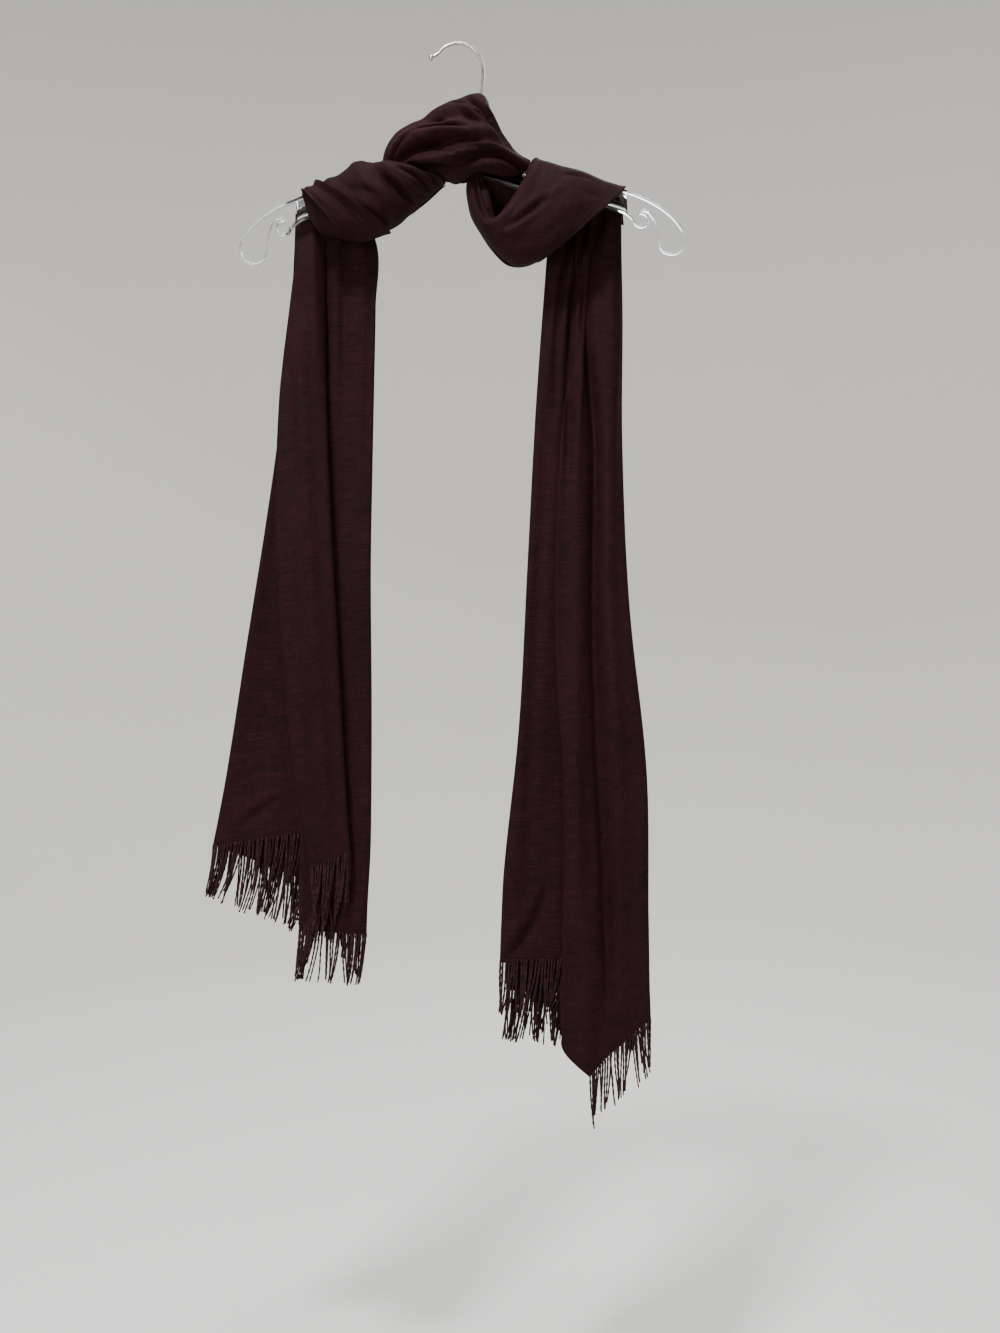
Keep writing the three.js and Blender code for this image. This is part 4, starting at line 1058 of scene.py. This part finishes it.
def dress(piece, material, node):
    """Gives a piece its material and slot, and puts it in a CAD node's place."""
    piece.data.materials.clear()
    piece.data.materials.append(material)
    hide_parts(node)
    return piece


def cloth_piece(node, sheet, thickness, offset=(0, 0)):
    return dress(shell("cloth_" + node, sheet, thickness, offset), cloth, node)


left_sheet = tail_sheet(LEFT_TAIL, 170, 3.4, 8)
right_sheet = tail_sheet(RIGHT_TAIL, 190, 3.6, 8)
left_tail = cloth_piece("left_tail", left_sheet, 0.8)
right_tail = cloth_piece("right_tail", right_sheet, 0.8, (0, 1.3))

left_fringe = tubes("fringe_left_tail", fringe_paths(left_sheet[-1], 0.08, -1, 0, 1), 6)
right_fringe = tubes("fringe_right_tail", fringe_paths(right_sheet[-1], 0.05, 0, 1, 2), 6)
dress(left_fringe, yarn, "left_fringe")
dress(right_fringe, yarn, "right_fringe")

inner = cloth_piece("left_inner_wrap", wrap_sheet(LEFT_INNER, 130, 170), 0.9, (3, 0))
outer = cloth_piece("left_outer_wrap", wrap_sheet(LEFT_OUTER, 70, 160), 0.9, (4, 0))
band = cloth_piece("right_band", wrap_sheet(RIGHT_BAND, 160, 160), 1.0, (5, 0))
loop = cloth_piece("right_loop", loop_sheet(120, 80), 0.9, (6, 0))
neck = cloth_piece("neck_wrap", wrap_sheet(NECK, 180, 240), 1.1, (7, 0))
boolean(neck, wire("hook_hole", hook_line(80), HOOK_WIRE / 2 + NECK_GAP, 16), "DIFFERENCE")

hanger = build_hanger()
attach(hanger, "root")
dress(hanger, plastic, "hanger")

hook = wire("hook_steel", hook_line(120), HOOK_WIRE / 2, 24)
ball = solid_at(
    "tip", *HOOK_TIP[:2], bmesh.ops.create_uvsphere, u_segments=24, v_segments=16, radius=HOOK_TIP[2] * MM,
)
boolean(hook, ball, "UNION")
shade_smooth(hook.data)
dress(hook, steel, "hook")

# ---------------------------------------------------------------- camera, floor and light
# In metres. The camera looks level at the hanger's plane, where half its view is VIEW_HALF_HEIGHT.
scene = bpy.context.scene
VIEW_DISTANCE = 1.3
VIEW_HALF_HEIGHT = 0.63317
VIEW_CENTRE = (0.0399, -0.5904)
SENSOR = 36
FLOOR, FLOOR_RADIUS, FLOOR_BEND, WALL_TOP = -1.32, 2.2, 1.2, 3.0

camera_data = bpy.data.cameras.new("camera")
camera_data.sensor_fit = "VERTICAL"
camera_data.sensor_height = SENSOR
camera_data.lens = SENSOR / 2 / (VIEW_HALF_HEIGHT / VIEW_DISTANCE)
camera = bpy.data.objects.new("camera", camera_data)
camera.location = (VIEW_CENTRE[0], -VIEW_DISTANCE, VIEW_CENTRE[1])
camera.rotation_euler = (math.pi / 2, 0, 0)
scene.collection.objects.link(camera)
scene.camera = camera


def studio_bowl():
    """A pale floor that curves up into a round wall."""
    profile = [(0.001, FLOOR), (1.0, FLOOR), (FLOOR_RADIUS, FLOOR)]
    bend_steps, turns = 12, 64
    for k in range(1, bend_steps + 1):
        a = math.radians(90 * k / bend_steps)
        profile.append((FLOOR_RADIUS + FLOOR_BEND * math.sin(a), FLOOR + FLOOR_BEND * (1 - math.cos(a))))
    profile += [(FLOOR_RADIUS + FLOOR_BEND, 1.0), (FLOOR_RADIUS + FLOOR_BEND, WALL_TOP)]
    turn = 2 * np.pi * np.arange(turns) / turns
    bowl = ring_object("studio_floor", [
        np.stack([radius * np.cos(turn), radius * np.sin(turn), np.full(turns, height)], 1)
        for radius, height in profile
    ], closed=False)
    shade_smooth(bowl.data)
    bowl.data.materials.append(new_material("pale_floor", {
        "Base Color": (0.70, 0.69, 0.675, 1),
        "Roughness": 0.9,
        "Specular IOR Level": 0.1,
    })[0])


def area_light(name, place, target, size, power):
    """A round light of a size in metres and a power in watts, turned to its target."""
    data = bpy.data.lights.new(name, "AREA")
    data.shape = "DISK"
    data.size = size
    data.energy = power
    light = bpy.data.objects.new(name, data)
    light.location = place
    direction = np.array(target) - np.array(place)
    flat = math.hypot(direction[0], direction[1])
    turn = math.atan2(direction[1], direction[0]) - math.pi / 2
    light.rotation_euler = (math.atan2(flat, -direction[2]), 0, turn)
    scene.collection.objects.link(light)


studio_bowl()
area_light("key", (-0.5, -1.1, 1.4), (0, 0, -0.4), 0.32, 66)
area_light("fill", (-0.9, -2.0, -0.2), (0, 0, -0.75), 0.9, 24)
area_light("back", (0.6, 2.0, 1.2), (0, 0, -0.5), 1.2, 60)
area_light("ceiling", (0, -0.3, 2.0), (0, 0, -0.4), 0.8, 46)

world = bpy.data.worlds.new("studio")
world.use_nodes = True
world.node_tree.nodes["Background"].inputs["Color"].default_value = (0.92, 0.93, 0.95, 1)
world.node_tree.nodes["Background"].inputs["Strength"].default_value = 0.22
scene.world = world
